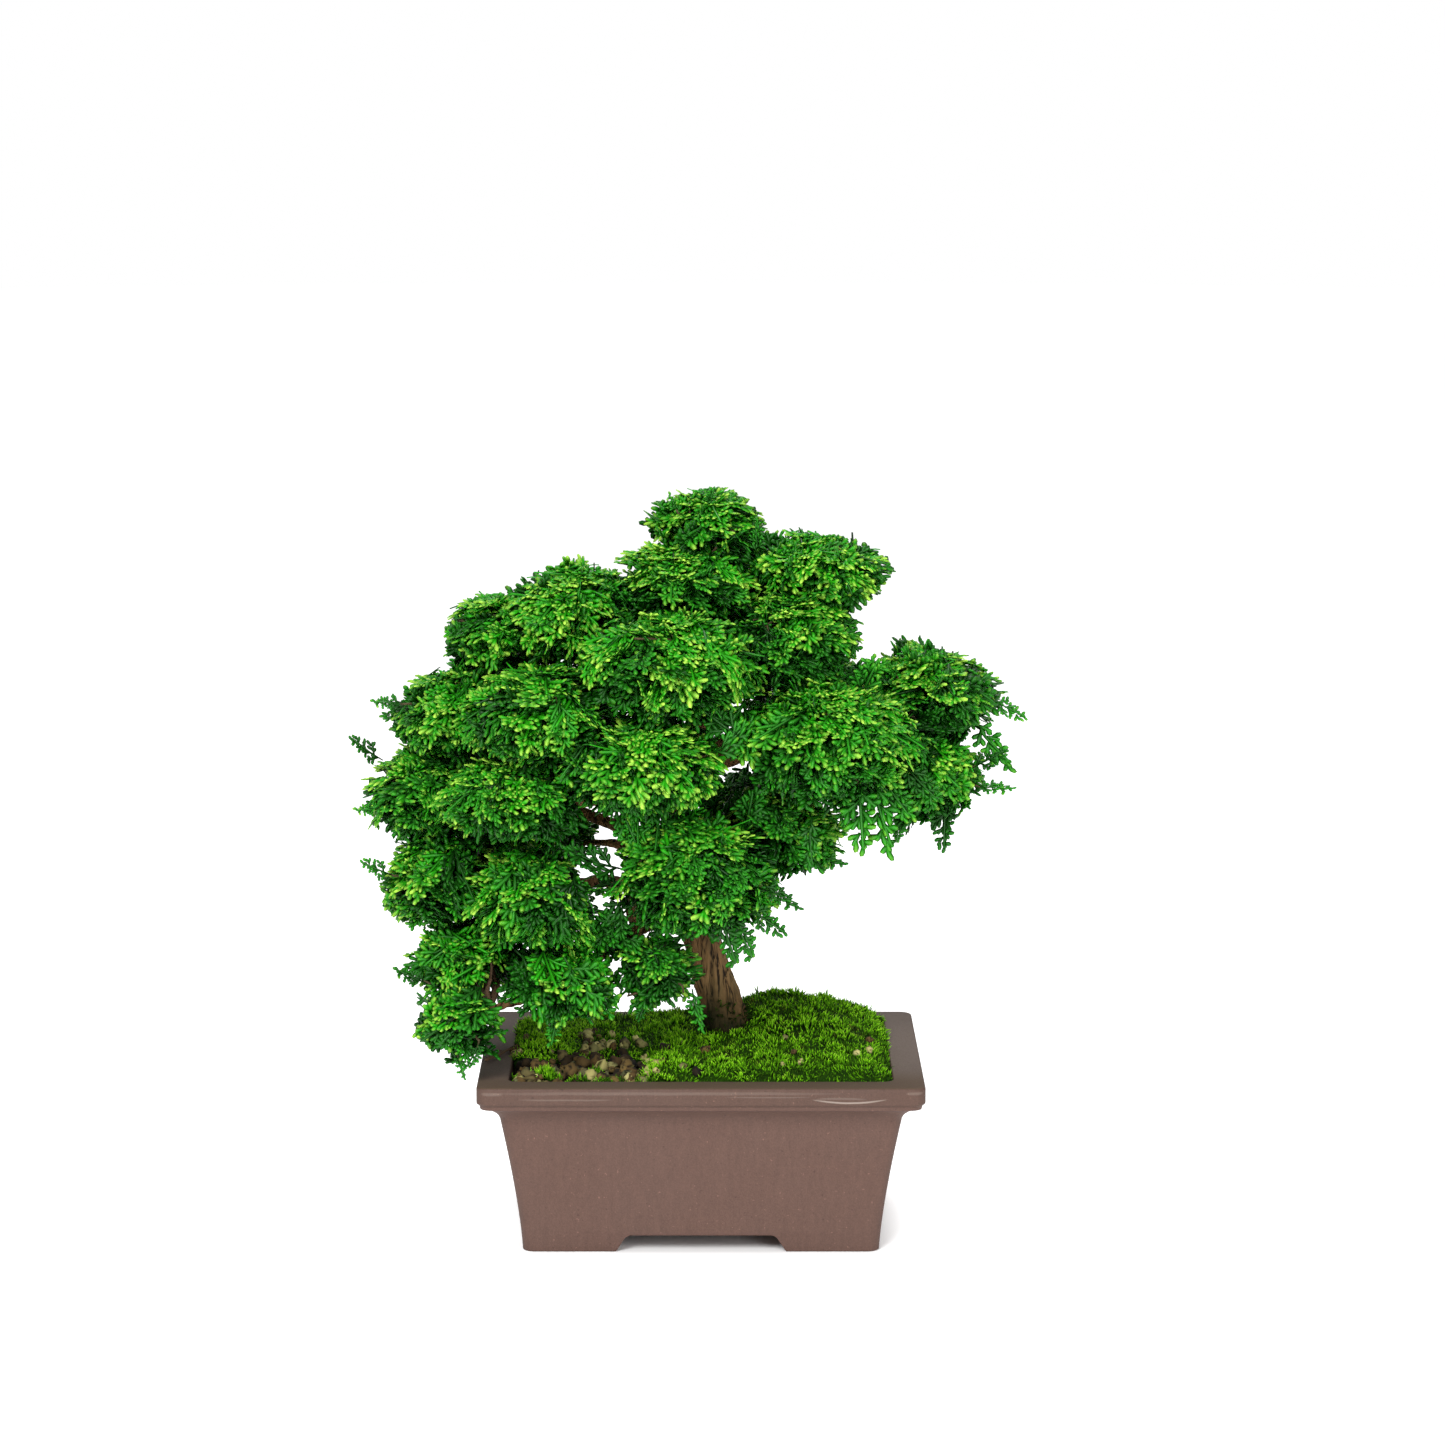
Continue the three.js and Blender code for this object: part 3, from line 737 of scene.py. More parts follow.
def build_pot(settings):
    """One fired body with its rim, feet and drain holes."""
    profile = outside_profile(settings) + inside_profile(settings)
    pot = scratch_object("stoneware_pot", loft(profile, settings.corner, 8))
    screen_low, screen_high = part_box("drain_screen_left")
    left = (screen_low.x + screen_high.x) / 2
    for index, x in enumerate((left, 2 * POT_X - left)):
        cut(pot, hole_cutter(f"hole_{index}", x, HOLE_RADIUS, RIM_TOP))
    cut(pot, arch_cutter("front_arch", FRONT_ARCH, POT_HIGH.y - POT_LOW.y, False, settings))
    cut(pot, arch_cutter("side_arch", SIDE_ARCH, POT_HIGH.x - POT_LOW.x, True, settings))
    bevel = pot.modifiers.new("soft_edges", "BEVEL")
    bevel.width = 0.0006
    bevel.segments = 2
    bevel.limit_method = "ANGLE"
    bevel.angle_limit = math.radians(38)
    bevel.use_clamp_overlap = True
    apply_modifiers(pot)
    pot.data.polygons.foreach_set("use_smooth", np.full(len(pot.data.polygons), True))
    pot.data.set_sharp_from_angle(angle=math.radians(40))
    settle(pot, clay_material(settings), ["pot"])


# ---------------------------------------------------------------- wood


def build_wood(settings):
    """The trunk and branches: the grown shape of the frame's wood, with fibrous, furrowed bark."""
    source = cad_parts["trunk_and_branches"]
    wood = source.copy()
    wood.data = source.data.copy()
    for key in list(wood.keys()):
        del wood[key]
    wood.name = "trunk_with_bark"
    wood.parent = None
    bpy.context.scene.collection.objects.link(wood)
    remesh = wood.modifiers.new("even_skin", "REMESH")
    remesh.mode = "VOXEL"
    remesh.voxel_size = settings.detail
    apply_modifiers(wood)
    smooth = wood.modifiers.new("round", "SMOOTH")
    smooth.factor = 0.5
    smooth.iterations = 6
    apply_modifiers(wood)
    mesh = wood.data
    count = len(mesh.vertices)
    points = np.zeros(count * 3, np.float32)
    normals = np.zeros(count * 3, np.float32)
    mesh.vertices.foreach_get("co", points)
    mesh.vertex_normals.foreach_get("vector", normals)
    points, normals = points.reshape(-1, 3), normals.reshape(-1, 3)
    moved = furrowed(points, normals, settings.furrow)
    mesh.vertices.foreach_set("co", moved.ravel())
    mesh.polygons.foreach_set("use_smooth", np.full(len(mesh.polygons), True))
    mesh.update()
    settle(wood, bark_material(settings), ["trunk_and_branches"])


def furrowed(points, normals, furrow):
    """Points pushed in and out along their normals into long fibres, plates and lumps."""
    moved = points.copy()
    for i in range(len(points)):
        p = Vector(points[i])
        fibre = noise.noise((p.x * 380, p.y * 380, p.z * 50))
        coarse = noise.noise((p.x * 170 + 7, p.y * 170, p.z * 34))
        lump = noise.noise((p.x * 60, p.y * 60 + 3, p.z * 45))
        thick = 1.0 if p.z < RIM_TOP + 0.09 else 0.4
        depth = 0.35 - abs(fibre) * 0.5 - max(0.0, coarse) * 1.3 + lump * 0.8
        moved[i] += normals[i] * furrow * thick * depth
    return moved


def tube(pile, path, radii, sides, marks_u, tint, flat=1.0, facing=None):
    """Adds a closed tube along a path."""
    path = np.asarray(path, float)
    count = len(path)
    ahead = unit(np.gradient(path, axis=0))
    reference = np.array(facing) if facing is not None else np.array([0.21, 0.35, 0.91])
    side = unit(np.cross(ahead, reference))
    over = np.cross(side, ahead)
    turn = np.arange(sides) / sides * 2 * math.pi
    ring = np.cos(turn)[None, :, None] * side[:, None] + np.sin(turn)[None, :, None] * over[:, None] * flat
    points = path[:, None] + ring * np.asarray(radii)[:, None, None]
    i = np.arange(count - 1)[:, None] * sides
    j = np.arange(sides)[None, :]
    k = (j + 1) % sides
    quads = np.stack([i + j, i + k, i + k + sides, i + j + sides], -1).reshape(-1, 4)
    u = np.repeat(np.asarray(marks_u), sides)
    v = tint + 0.02 * np.tile(np.cos(turn), count)
    last = (count - 1) * sides
    points = points.reshape(-1, 3)
    ends = np.vstack([path[0] - ahead[0] * radii[0] * 0.3, path[-1] + ahead[-1] * radii[-1] * 0.6])
    start, finish = len(points), len(points) + 1
    caps = [[start, (n + 1) % sides, n] for n in range(sides)]
    caps += [[finish, last + n, last + (n + 1) % sides] for n in range(sides)]
    marks = np.stack([u, v], -1)
    marks = np.vstack([marks, [marks_u[0], tint], [marks_u[-1], tint]])
    pile.add(np.vstack([points, ends]), np.clip(marks, 0.001, 0.999), quads, caps)


# ---------------------------------------------------------------- leaf sprays


def finger(pile, start, heading, length, width, growth, rng, rings=(0.0, 0.7, 1.0)):
    """One flat, blunt, scaly twig in the plane of the spray."""
    share = np.array(rings)
    shape = np.interp(share, (0.0, 0.35, 0.75, 1.0), (0.6, 0.92, 1.12, 0.6))
    ahead = np.array([math.cos(heading), math.sin(heading), 0.0])
    side = np.array([-ahead[1], ahead[0], 0.0])
    bow = rng.normal(0, 0.07) * length
    path = np.array(start)[None] + ahead * (share * length)[:, None] + side * (bow * share**2)[:, None]
    path[:, 2] += rng.normal(0.05, 0.1) * length * share
    half = shape * width / 2
    corners = []
    for across, up in ((1, 0), (0, 0.75), (-1, 0)):
        corners.append(path + side * (half * across)[:, None] + UP * (half * up)[:, None])
    points = np.stack(corners, 1).reshape(-1, 3)
    count = len(rings)
    i = np.arange(count - 1)[:, None] * 3
    j = np.arange(3)[None, :]
    k = (j + 1) % 3
    quads = np.stack([i + j, i + k, i + k + 3, i + j + 3], -1).reshape(-1, 4)
    last = (count - 1) * 3
    caps = np.array([[0, 1, 2], [last + 2, last + 1, last]])
    u = np.repeat(growth[0] + (growth[1] - growth[0]) * share, 3)
    u[-2] += 0.012
    v = np.tile([0.0, 0.35, 0.7], count)
    pile.add(points, np.stack([u, v], -1), quads[:, ::-1], caps)


def grow_spray(rng, length, width, breadth=1.0):
    """A flat fan growing along +X: side fingers in turn, each set with short blunt lobes."""
    pile = Pile()
    finger(pile, (0, 0, 0), 0.0, length * 0.97, width * 0.7, (0.05, 0.6), rng, (0.0, 0.4, 0.9, 1.0))
    side = 1 if rng.random() < 0.5 else -1
    x = length * 0.14
    while x < length * 0.95:
        share = x / length
        reach = breadth * length * (0.15 + 0.42 * (1 - share) ** 0.8) * rng.uniform(0.8, 1.15)
        angle = side * math.radians(rng.uniform(36, 50) - 10 * share)
        side_finger(pile, x, angle, max(reach, 1.7 * width), width, 0.34 * share, rng)
        x += 1.32 * width * rng.uniform(0.85, 1.15)
        side = -side
    points, marks, quads, caps = shaped(pile, length, rng.uniform(0.1, 0.6), rng.uniform(-0.3, 0.2))
    points[:, 1] += rng.uniform(-0.2, 0.2) * points[:, 0] ** 2 / length
    return points, marks, quads, caps


def side_finger(pile, x, angle, reach, width, age, rng):
    """A finger leaving the spray's middle at x, with lobes down both its sides."""
    ahead = np.array([math.cos(angle), math.sin(angle), 0.0])
    lift = 0.12 * reach
    tip = np.clip(0.62 + age + rng.normal(0, 0.06), 0, 1)
    foot = np.array([x, 0.0, 0.0])
    finger(pile, foot, angle, reach, width * 0.9, (0.12 + age * 0.4, tip - 0.1), rng, (0.0, 0.5, 0.88, 1.0))
    turn = 1 if rng.random() < 0.5 else -1
    along = reach * 0.2
    while along < reach - 0.75 * width:
        part = along / reach
        heading = angle + turn * math.radians(rng.uniform(36, 52))
        length = width * rng.uniform(1.5, 2.2) * (1.2 - 0.35 * part)
        tip = np.clip(0.52 + age + 0.16 * part + rng.normal(0, 0.07), 0, 1)
        start = foot + ahead * along + UP * lift * part**2 * rng.uniform(-0.3, 1.0)
        finger(pile, start, heading, length, width, (tip - 0.34, tip), rng)
        along += 0.72 * width * rng.uniform(0.85, 1.15)
        turn = -turn


def shaped(pile, length, cup, curl):
    """Bends a flat spray into a shell: its sides up by cup, its end up by curl."""
    points, marks, quads, caps = pile.arrays()
    points[:, 2] += cup * points[:, 1] ** 2 / length + curl * points[:, 0] ** 2 / length
    points[:, 2] += 0.5 * MM * np.sin(points[:, 0] / length * 9 + points[:, 1] / length * 7)
    return points, marks, quads, caps


# Rows of the leaf tint, which runs from painted deep shade to painted sunlight.
TINTS = 16


def lay_spray(template, base, ahead, over, size):
    """A spray's points, growing from base along ahead, with its upper face towards over."""
    points = template[0]
    ahead = unit(ahead)
    over = unit(over - ahead * np.dot(over, ahead))
    side = np.cross(over, ahead)
    return base + size * (points[:, :1] * ahead + points[:, 1:2] * side + points[:, 2:] * over)


def add_spray(pile, template, placed, tint):
    _, marks, quads, caps = template
    row = min(TINTS - 1, max(0, int(tint * TINTS)))
    v = (row + 0.15 + marks[:, 1]) / TINTS
    pile.add(placed, np.clip(np.stack([marks[:, 0], v], -1), 0.002, 0.998), quads, caps)


def draw_in(placed, middle, radii, heart, tight, loose):
    """The shift that keeps a spray in its pad: tight on the tree's outside, loose between the pads."""
    outward = (unit(placed - middle) * unit(placed - heart)).sum(1)
    margin = loose + (tight - loose) * smoothstep(outward, 0.1, 0.75)
    reach = np.linalg.norm((placed - middle) / (radii + margin[:, None]), axis=1)
    far = np.argmax(reach)
    if reach[far] <= 1:
        return np.zeros(3)
    return (middle - placed[far]) * (1 - 1 / reach[far])


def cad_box(name):
    """The two corners of a node's box, as arrays."""
    return [np.array(corner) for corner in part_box(name)]


def opening_middle():
    """Middle of the opening between the pads left of the trunk, as (x, z)."""
    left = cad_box("foliage_left_front_lower")
    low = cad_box("foliage_low_front")
    return (left[1][0] + low[0][0]) / 2 - 3 * MM, (low[0][2] + low[1][2]) / 2 - 4 * MM


def in_opening(placed, middle):
    """Whether a spray would stand in the opening, which is seen a little from above."""
    across = (placed[:, 0] - middle[0]) / (11 * MM)
    rise = (placed[:, 2] - middle[1] + 0.17 * (placed[:, 1] - POT_Y)) / (6.5 * MM)
    return (across**2 + rise**2 < 1).mean() > 0.05


def pad_names():
    return sorted(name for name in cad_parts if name.startswith("foliage_"))


def spray_pose(q, out, rng):
    """Heading and upper side of a spray at a place q on a pad: they lie like shingles on a dome."""
    level = unit(np.array([q[0], q[1], 0.0]) + 1e-6)
    steep = np.clip(q[2] / max(np.linalg.norm(q), 1e-6), -1, 1)
    down_slope = level * steep - UP * math.sqrt(1 - steep**2)
    slope = 0.55 + 0.3 * max(0.0, steep) if steep > -0.3 else 0.2
    ahead = unit(down_slope * slope + out * 0.6 + level * 0.15 + rng.normal(0, 0.2, 3))
    over = out * 0.95 * max(0.0, 1 - abs(min(0.0, steep))) + UP * 0.3 + rng.normal(0, 0.2, 3)
    return ahead, over


# Pads whose sprays hang flat and open, facing the front.
LACE = {
    "foliage_left_tip": 0.9,
    "foliage_low_left_fan": 0.7,
    "foliage_low_centre_fan": 0.8,
    "foliage_left_hanging": 0.4,
}


# Stray sprigs: the pad, the place in it as shares of its half sizes, the heading across and up, the length.
SPRIGS = (
    ("right_front", (0.25, -0.4, -0.55), (0.15, -1.0), 34),
    ("right_front", (-0.2, -0.5, -1.1), (-0.2, -1.0), 24),
    ("right_front", (0.42, -0.3, -0.5), (0.05, -1.0), 36),
    ("far_right_lower", (-0.6, -0.5, -0.5), (0.1, -1.0), 19),
    ("far_right_lower", (0.2, -0.5, -0.4), (0.1, -1.0), 24),
    ("far_right_upper", (0.5, -0.4, -0.4), (0.5, -0.9), 30),
    ("far_right_upper", (0.75, -0.4, 0.0), (0.9, -0.5), 19),
    ("far_right_upper", (-0.45, -0.4, 0.45), (-0.5, 0.8), 13),
    ("low_front", (0.55, -0.5, -0.35), (0.9, -0.5), 22),
    ("low_front", (0.2, -0.5, -0.4), (0.5, -0.9), 28),
    ("low_front", (0.35, -0.4, -0.5), (0.6, -0.8), 24),
    ("low_front", (0.7, -0.5, 0.1), (0.8, -0.7), 21),
    ("left_middle", (-0.6, -0.5, -0.1), (-1.0, -0.1), 14),
    ("left_hanging", (-0.6, -0.5, -0.3), (-0.9, 0.4), 18),
    ("apex", (0.8, -0.5, -0.5), (0.2, 1.0), 17),
    ("upper_right", (-0.4, -0.4, 0.0), (0.1, 1.0), 17),
    ("left_shoulder", (-0.7, -0.4, 0.4), (-1.0, 0.0), 15),
    ("low_centre_fan", (0.9, -0.5, -0.2), (0.1, -1.0), 20),
    ("low_left_fan", (-0.1, -0.5, -0.5), (-0.1, -1.0), 18),
    ("low_centre_fan", (-0.1, -0.5, -0.2), (-0.2, -1.0), 16),
    ("left_tip", (0.5, -0.4, -0.2), (-0.3, -0.9), 15),
    ("right_low", (0.3, -0.5, -0.2), (0.9, -0.4), 20),
    ("far_right_lower", (0.7, -0.3, 0.3), (0.9, 0.5), 20),
    ("far_right_lower", (0.75, -0.3, -0.1), (1.0, -0.2), 18),
    ("left_middle", (-0.6, -0.3, 0.9), (-0.9, 0.5), 20),
    ("left_tip", (0.0, -0.4, -0.5), (0.1, -1.0), 13),
    ("apex", (0.0, -0.3, 0.5), (0.1, 1.0), 12),
    ("apex", (-0.5, -0.3, 0.4), (-0.5, 0.9), 12),
    ("left_lower", (-0.7, -0.3, 0.4), (-1.0, 0.4), 17),
)


# Sprays laid flat over the top of each pad, and how far out twigs may reach, as a part of a pad's radius.
CROWN_SPRAYS = 6
TWIG_REACH = 0.8

# Age marks along a twig, from its fork to its end.
TWIG_MARKS = [0.3, 0.55, 0.8, 0.95]


# Broad fans that close gaps between pads, in the same form.
GAP_FANS = (
    ("right_front", (-0.9, -0.4, 0.2), (-0.8, 0.5), 24),
    ("right_front", (-0.85, -0.1, 0.5), (-0.7, 0.2), 24),
    ("centre_front", (0.8, -0.1, 0.3), (0.9, 0.5), 24),
    ("centre_front", (-0.2, 0.2, -0.7), (0.1, -1.0), 22),
    ("left_front_lower", (0.8, 0.0, -0.3), (0.9, -0.5), 26),
    ("left_front_lower", (0.7, 0.3, 0.2), (1.0, 0.2), 24),
    ("low_front", (-0.75, 0.2, -0.5), (-0.7, -0.8), 24),
    ("centre_front", (0.0, 0.2, -0.8), (-0.1, -1.0), 22),
    ("centre_front", (0.25, 0.2, -0.8), (-0.2, -1.0), 22),
    ("low_front", (-0.3, 0.2, 0.8), (0.1, 1.0), 18),
    ("low_front", (-0.8, 0.0, 0.2), (-0.9, 0.2), 24),
    ("far_right_upper", (-0.6, 0.0, 0.3), (-0.8, 0.35), 24),
    ("right_front", (0.3, 0.2, 0.7), (0.3, 0.9), 22),
    ("upper_right", (-0.7, 0.0, 0.3), (-0.8, 0.4), 20),
    ("low_front", (-0.75, 0.2, -0.3), (-0.6, -0.8), 26),
    ("right_front", (0.45, -0.2, -0.4), (0.5, -0.8), 24),
    ("right_front", (0.1, -0.2, -0.4), (0.2, -0.9), 24),
    ("right_front", (0.7, -0.1, -0.3), (0.6, -0.7), 22),
    ("left_front_lower", (0.8, 0.3, -0.6), (0.7, -0.7), 24),
    ("right_low", (-0.9, 0.0, 0.5), (-0.4, 0.9), 26),
    ("low_front", (0.5, 0.3, 0.7), (0.3, 1.0), 24),
    ("low_front", (-0.5, 0.3, 0.7), (-0.1, 1.0), 22),
    ("centre_front", (0.5, 0.3, 0.2), (0.8, 0.6), 26),
)


# How far a pad's sprays are drawn in from its outline, in millimetres.
SETBACK = {
    "foliage_upper_right": 4.0,
    "foliage_far_right_upper": 2.6,
    "foliage_apex": 1.5,
    "foliage_left_shoulder": 2.6,
    "foliage_upper_left": 1.6,
    "foliage_far_upper_left": 1.2,
}


class Pad:
    """One foliage pad of the frame, and the leaf sprays grown in it."""

    def __init__(self, name, trees, wood_tree):
        self.name = name
        self.points, self.triangles = node_mesh(name)
        low, high = self.points.min(0), self.points.max(0)
        self.middle, self.radii = (low + high) / 2, (high - low) / 2
        self.lace, self.setback = LACE.get(name, 0.0), SETBACK.get(name, 0.0)
        self.neighbours = [tree for other, tree in trees.items() if other != name]
        self.root = np.array(wood_tree.find_nearest(Vector(self.middle))[0])
        self.pile = Pile()
        self.bases = []

    def touched(self, place):
        """Whether a neighbouring pad lies against this place."""
        return any(tree.find_nearest(Vector(place), 2.2 * MM)[0] is not None for tree in self.neighbours)


class Foliage:
    """Grows the sprays of every pad from one run of random numbers."""

    def __init__(self, settings, names):
        rng = self.rng = np.random.default_rng(11)
        self.length, self.spacing = settings.length, settings.spacing
        self.kinds = []
        for _ in range(settings.templates):
            length = settings.length * rng.uniform(0.85, 1.2)
            self.kinds.append(grow_spray(rng, length, settings.finger, rng.uniform(0.7, 1.05)))
        self.slender = [grow_spray(rng, settings.length * 0.9, settings.finger * 0.9, 0.6) for _ in range(4)]
        self.heart = np.mean([np.add(*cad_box(name)) / 2 for name in names], axis=0)
        self.opening = opening_middle()

    def pick(self, shapes):
        return shapes[self.rng.integers(len(shapes))]

    def cover(self, pad):
        """Sprays lying over the pad like shingles, and the places they start from."""
        places, normals = scatter(pad.points, pad.triangles, self.spacing * (1 + 0.35 * pad.lace), self.rng)
        for place, out in zip(places, normals):
            inner = pad.touched(place)
            if inner and self.rng.random() < 0.4:
                continue
            self.cover_spray(pad, place, out, inner)
        return places

    def cover_spray(self, pad, place, out, inner):
        """One outer spray: a shingle, a flat hanging fan on a lacy pad, or one between two pads in painted
        shade.
        """
        rng = self.rng
        q = (place - pad.middle) / pad.radii
        out = unit(out + q * 0.6)
        ahead, over = spray_pose(q, out, rng)
        away = unit((place - self.heart) * np.array([1.0, 1.0, 0.8]))
        ahead = unit(ahead + away * 0.25)
        if rng.random() < pad.lace:
            ahead = unit(np.array([q[0] * 0.8, -0.35, -0.25 + 0.3 * q[2]]) + rng.normal(0, 0.25, 3))
            over = np.array([0.0, -0.8, 0.7]) + rng.normal(0, 0.3, 3)
        elif inner:
            ahead = unit(away + out * 0.2 + rng.normal(0, 0.28, 3))
            over = away * 0.6 + UP * 0.7 + rng.normal(0, 0.3, 3)
            place = place + away * 3.5 * MM
        size = rng.uniform(0.78, 1.15) * (0.88 if q[2] < -0.4 else 1.0)
        shape = self.pick(self.kinds)
        reach = shape[0][:, 0].max() * size * rng.uniform(0.85, 1.0)
        base = place - ahead * reach - out * 1.2 * MM
        placed = lay_spray(shape, base, ahead, over, size)
        stray = 3.5 if rng.random() < 0.12 else 0.0
        tight = (rng.uniform(-1.0, 3.8) + stray + pad.lace - pad.setback) * MM
        shift = draw_in(placed, pad.middle, pad.radii, self.heart, tight, 9 * MM)
        if in_opening(placed + shift, self.opening):
            return
        height = (place[2] - CAD_BOX[0][2]) / (CAD_BOX[1][2] - CAD_BOX[0][2])
        patch = noise.noise(Vector(place) * 32)
        # Painted light: sprays higher on their pad and higher in the tree get lighter tints; a noise patch
        # adds random tone.
        tint = 0.5 + 0.26 * q[2] + 0.1 * (height - 0.6) + 0.6 * patch + rng.normal(0, 0.11)
        # Sprays between two pads get a darker tint: painted shade.
        add_spray(pad.pile, shape, placed + shift, tint - (0.25 if inner else 0.0))
        pad.bases.append((base + shift, ahead))

    def fill(self, pad, places):
        """Sprays inside the pad in painted shade, seen through the outer ones."""
        rng = self.rng
        for place in places[rng.random(len(places)) < 0.6]:
            q = (place - pad.middle) / pad.radii
            ahead = unit(q + rng.normal(0, 0.35, 3))
            base = pad.middle + (place - pad.middle) * 0.66 - ahead * self.length * 0.6
            # Low tints: painted deep shade inside the pad, a little lighter towards its top.
            tint = rng.uniform(0.0, 0.26) + 0.1 * q[2]
            shape = self.pick(self.kinds)
            placed = lay_spray(shape, base, ahead, UP * 0.6 + rng.normal(0, 0.6, 3), 1.0)
            placed += draw_in(placed, pad.middle, pad.radii, self.heart, -MM, 8 * MM)
            if not in_opening(placed, self.opening):
                add_spray(pad.pile, shape, placed, tint)

    def crown(self, pad):
        """Sprays laid flat over the pad's top."""
        rng = self.rng
        for turn in rng.uniform(0, 2 * math.pi, CROWN_SPRAYS):
            ahead = np.array([math.cos(turn), math.sin(turn), rng.uniform(-0.1, 0.2)])
            base = pad.middle + UP * pad.radii[2] * 0.84 - ahead * self.length * rng.uniform(0.1, 0.5)
            shape = self.pick(self.kinds)
            placed = lay_spray(shape, base, ahead, UP + rng.normal(0, 0.15, 3), 0.9)
            placed += draw_in(placed, pad.middle, pad.radii, self.heart, 0.0, 5 * MM)
            add_spray(pad.pile, shape, placed, rng.uniform(0.3, 0.65))

    def trim(self, pad):
        """The pad's own sprigs and gap fans."""
        for table, shapes in ((SPRIGS, self.slender), (GAP_FANS, self.kinds)):
            for name, spot, (across, rise), length in table:
                if pad.name == "foliage_" + name:
                    base = pad.middle + np.array(spot) * pad.radii
                    ahead = np.array([across, -0.15, rise])
                    over = np.array([0.0, -0.8, 0.5]) + self.rng.normal(0, 0.25, 3)
                    shape = self.pick(shapes)
                    placed = lay_spray(shape, base, ahead, over, length * MM / self.length)
                    add_spray(pad.pile, shape, placed, self.rng.uniform(0.15, 0.45))
                    pad.bases.append((base, unit(ahead)))


def build_leaves(settings):
    """Every pad's sprays as one piece, and the twigs of all pads as another."""
    names = pad_names()
    foliage = Foliage(settings, names)
    trees = {name: node_tree(name) for name in names}
    wood_tree = node_tree("trunk_and_branches")
    material = leaf_material(settings)
    twig_pile = Pile()
    for name in names:
        pad = Pad(name, trees, wood_tree)
        foliage.fill(pad, foliage.cover(pad))
        foliage.crown(pad)
        foliage.trim(pad)
        add_twigs(twig_pile, pad, foliage.rng)
        piece = mesh_object(name.replace("foliage_", "leaf_sprays_"), *pad.pile.arrays())
        settle(piece, material, [name])
    piece = mesh_object("fine_twigs", *twig_pile.arrays())
    settle(piece, twig_material(bpy.context.scene.bonsai_wood))


def add_twigs(pile, pad, rng):
    """Forked twigs from the branch to the foot of every spray."""
    root = pad.root
    feet = np.array([base for base, _ in pad.bases])
    forks = feet[rng.choice(len(feet), min(7, len(feet)), replace=False)]
    forks = root + (forks - root) * rng.uniform(0.35, 0.6, (len(forks), 1))
    for fork in forks:
        path = [root, root + (fork - root) * 0.5 + rng.normal(0, 1.2 * MM, 3), fork]
        tube(pile, path, [1.3 * MM, 1.1 * MM, 0.9 * MM], 6, [0.05, 0.2, 0.35], rng.uniform(0.2, 0.8))
    radii = np.array([0.8, 0.62, 0.55, 0.45]) * MM
    for base, ahead in pad.bases:
        out_by = np.linalg.norm((base - pad.middle) / pad.radii)
        base = pad.middle + (base - pad.middle) * min(1.0, TWIG_REACH / max(out_by, 1e-6))
        fork = forks[np.argmin(((forks - base) ** 2).sum(1))]
        span = np.linalg.norm(base - fork)
        bend = (fork + base) / 2 - ahead * span * 0.12 + rng.normal(0, 0.6 * MM, 3)
        tube(pile, [fork, bend, base, base + ahead * 3 * MM], radii, 5, TWIG_MARKS, rng.uniform(0.2, 0.8))


# ---------------------------------------------------------------- moss, soil and grit


def moss_names():
    return ["moss_mound", "moss_left_cushion", "moss_back_cushion"]


def granule_names():
    return sorted(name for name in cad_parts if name.startswith("granule_"))


def bare_patch():
    """The two corners of the box round all the frame's granules."""
    boxes = [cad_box(name) for name in granule_names()]
    return np.min([box[0] for box in boxes], axis=0), np.max([box[1] for box in boxes], axis=0)


def build_moss(settings):
    rng = np.random.default_rng(23)
    material = moss_material(settings)
    for name in moss_names():
        points, triangles = node_mesh(name)
        a, b, c = (points[triangles[:, i]] for i in range(3))
        normal = unit(np.cross(b - a, c - a))
        top = normal[:, 2] > 0.15
        pile = Pile()
        add_moss_bed(pile, name, rng)
        places, normals = scatter(points, triangles[top], settings.shoot_spacing, rng, 4.0)
        # The shoots are lifted lighter, most on the left cushion: painted light where the canopy shades them.
        painted_light_lift = 0.45 if name == "moss_left_cushion" else 0.07
        for place, face in zip(places, normals):
            add_shoot(pile, place, face, settings, rng, painted_light_lift)
        if name == "moss_mound":
            add_trunk_moss(pile, settings, rng)
        if name == "moss_left_cushion":
            add_stray_moss(pile, settings, rng)
        piece = mesh_object(name.replace("moss_", "moss_shoots_"), *pile.arrays())
        settle(piece, material, [name])


def add_trunk_moss(pile, settings, rng):
    """Dark moss creeping up the foot of the trunk."""
    points, triangles = node_mesh("trunk_and_branches")
    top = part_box("moss_mound")[1].z
    level = points[triangles].mean(1)[:, 2]
    low = (level > RIM_TOP) & (level < top + 2 * MM)
    places, normals = scatter(points, triangles[low], settings.shoot_spacing * 1.2, rng, 3.0)
    for place, face in zip(places, normals):
        reach = RIM_TOP + 0.02 + 0.012 * noise.noise(Vector(place) * 90)
        if place[2] < reach and rng.random() < 0.75:
            add_shoot(pile, place + face * 1.2 * MM, face, settings, rng, -0.42)


def add_stray_moss(pile, settings, rng):
    """Tufts growing between the granules of the bare patch."""
    low, high = bare_patch()
    for _ in range(900):
        place = np.array([rng.uniform(low[0], high[0]), rng.uniform(low[1], high[1] + 3 * MM), 0.0])
        clump = noise.noise(Vector(place) * 110)
        if clump > 0.16:
            place[2] = low[2] + (2.4 + 5 * clump) * MM
            add_shoot(pile, place, UP, settings, rng, -0.1)


def add_moss_bed(pile, name, rng):
    """The dark matted bed that the shoots stand on."""
    points, triangles = node_mesh(name)
    growth = 0.06 + 0.08 * rng.random(len(points))
    marks = np.stack([growth, 0.4 + 0.3 * rng.random(len(points))], -1)
    pile.add(points, marks, None, triangles)


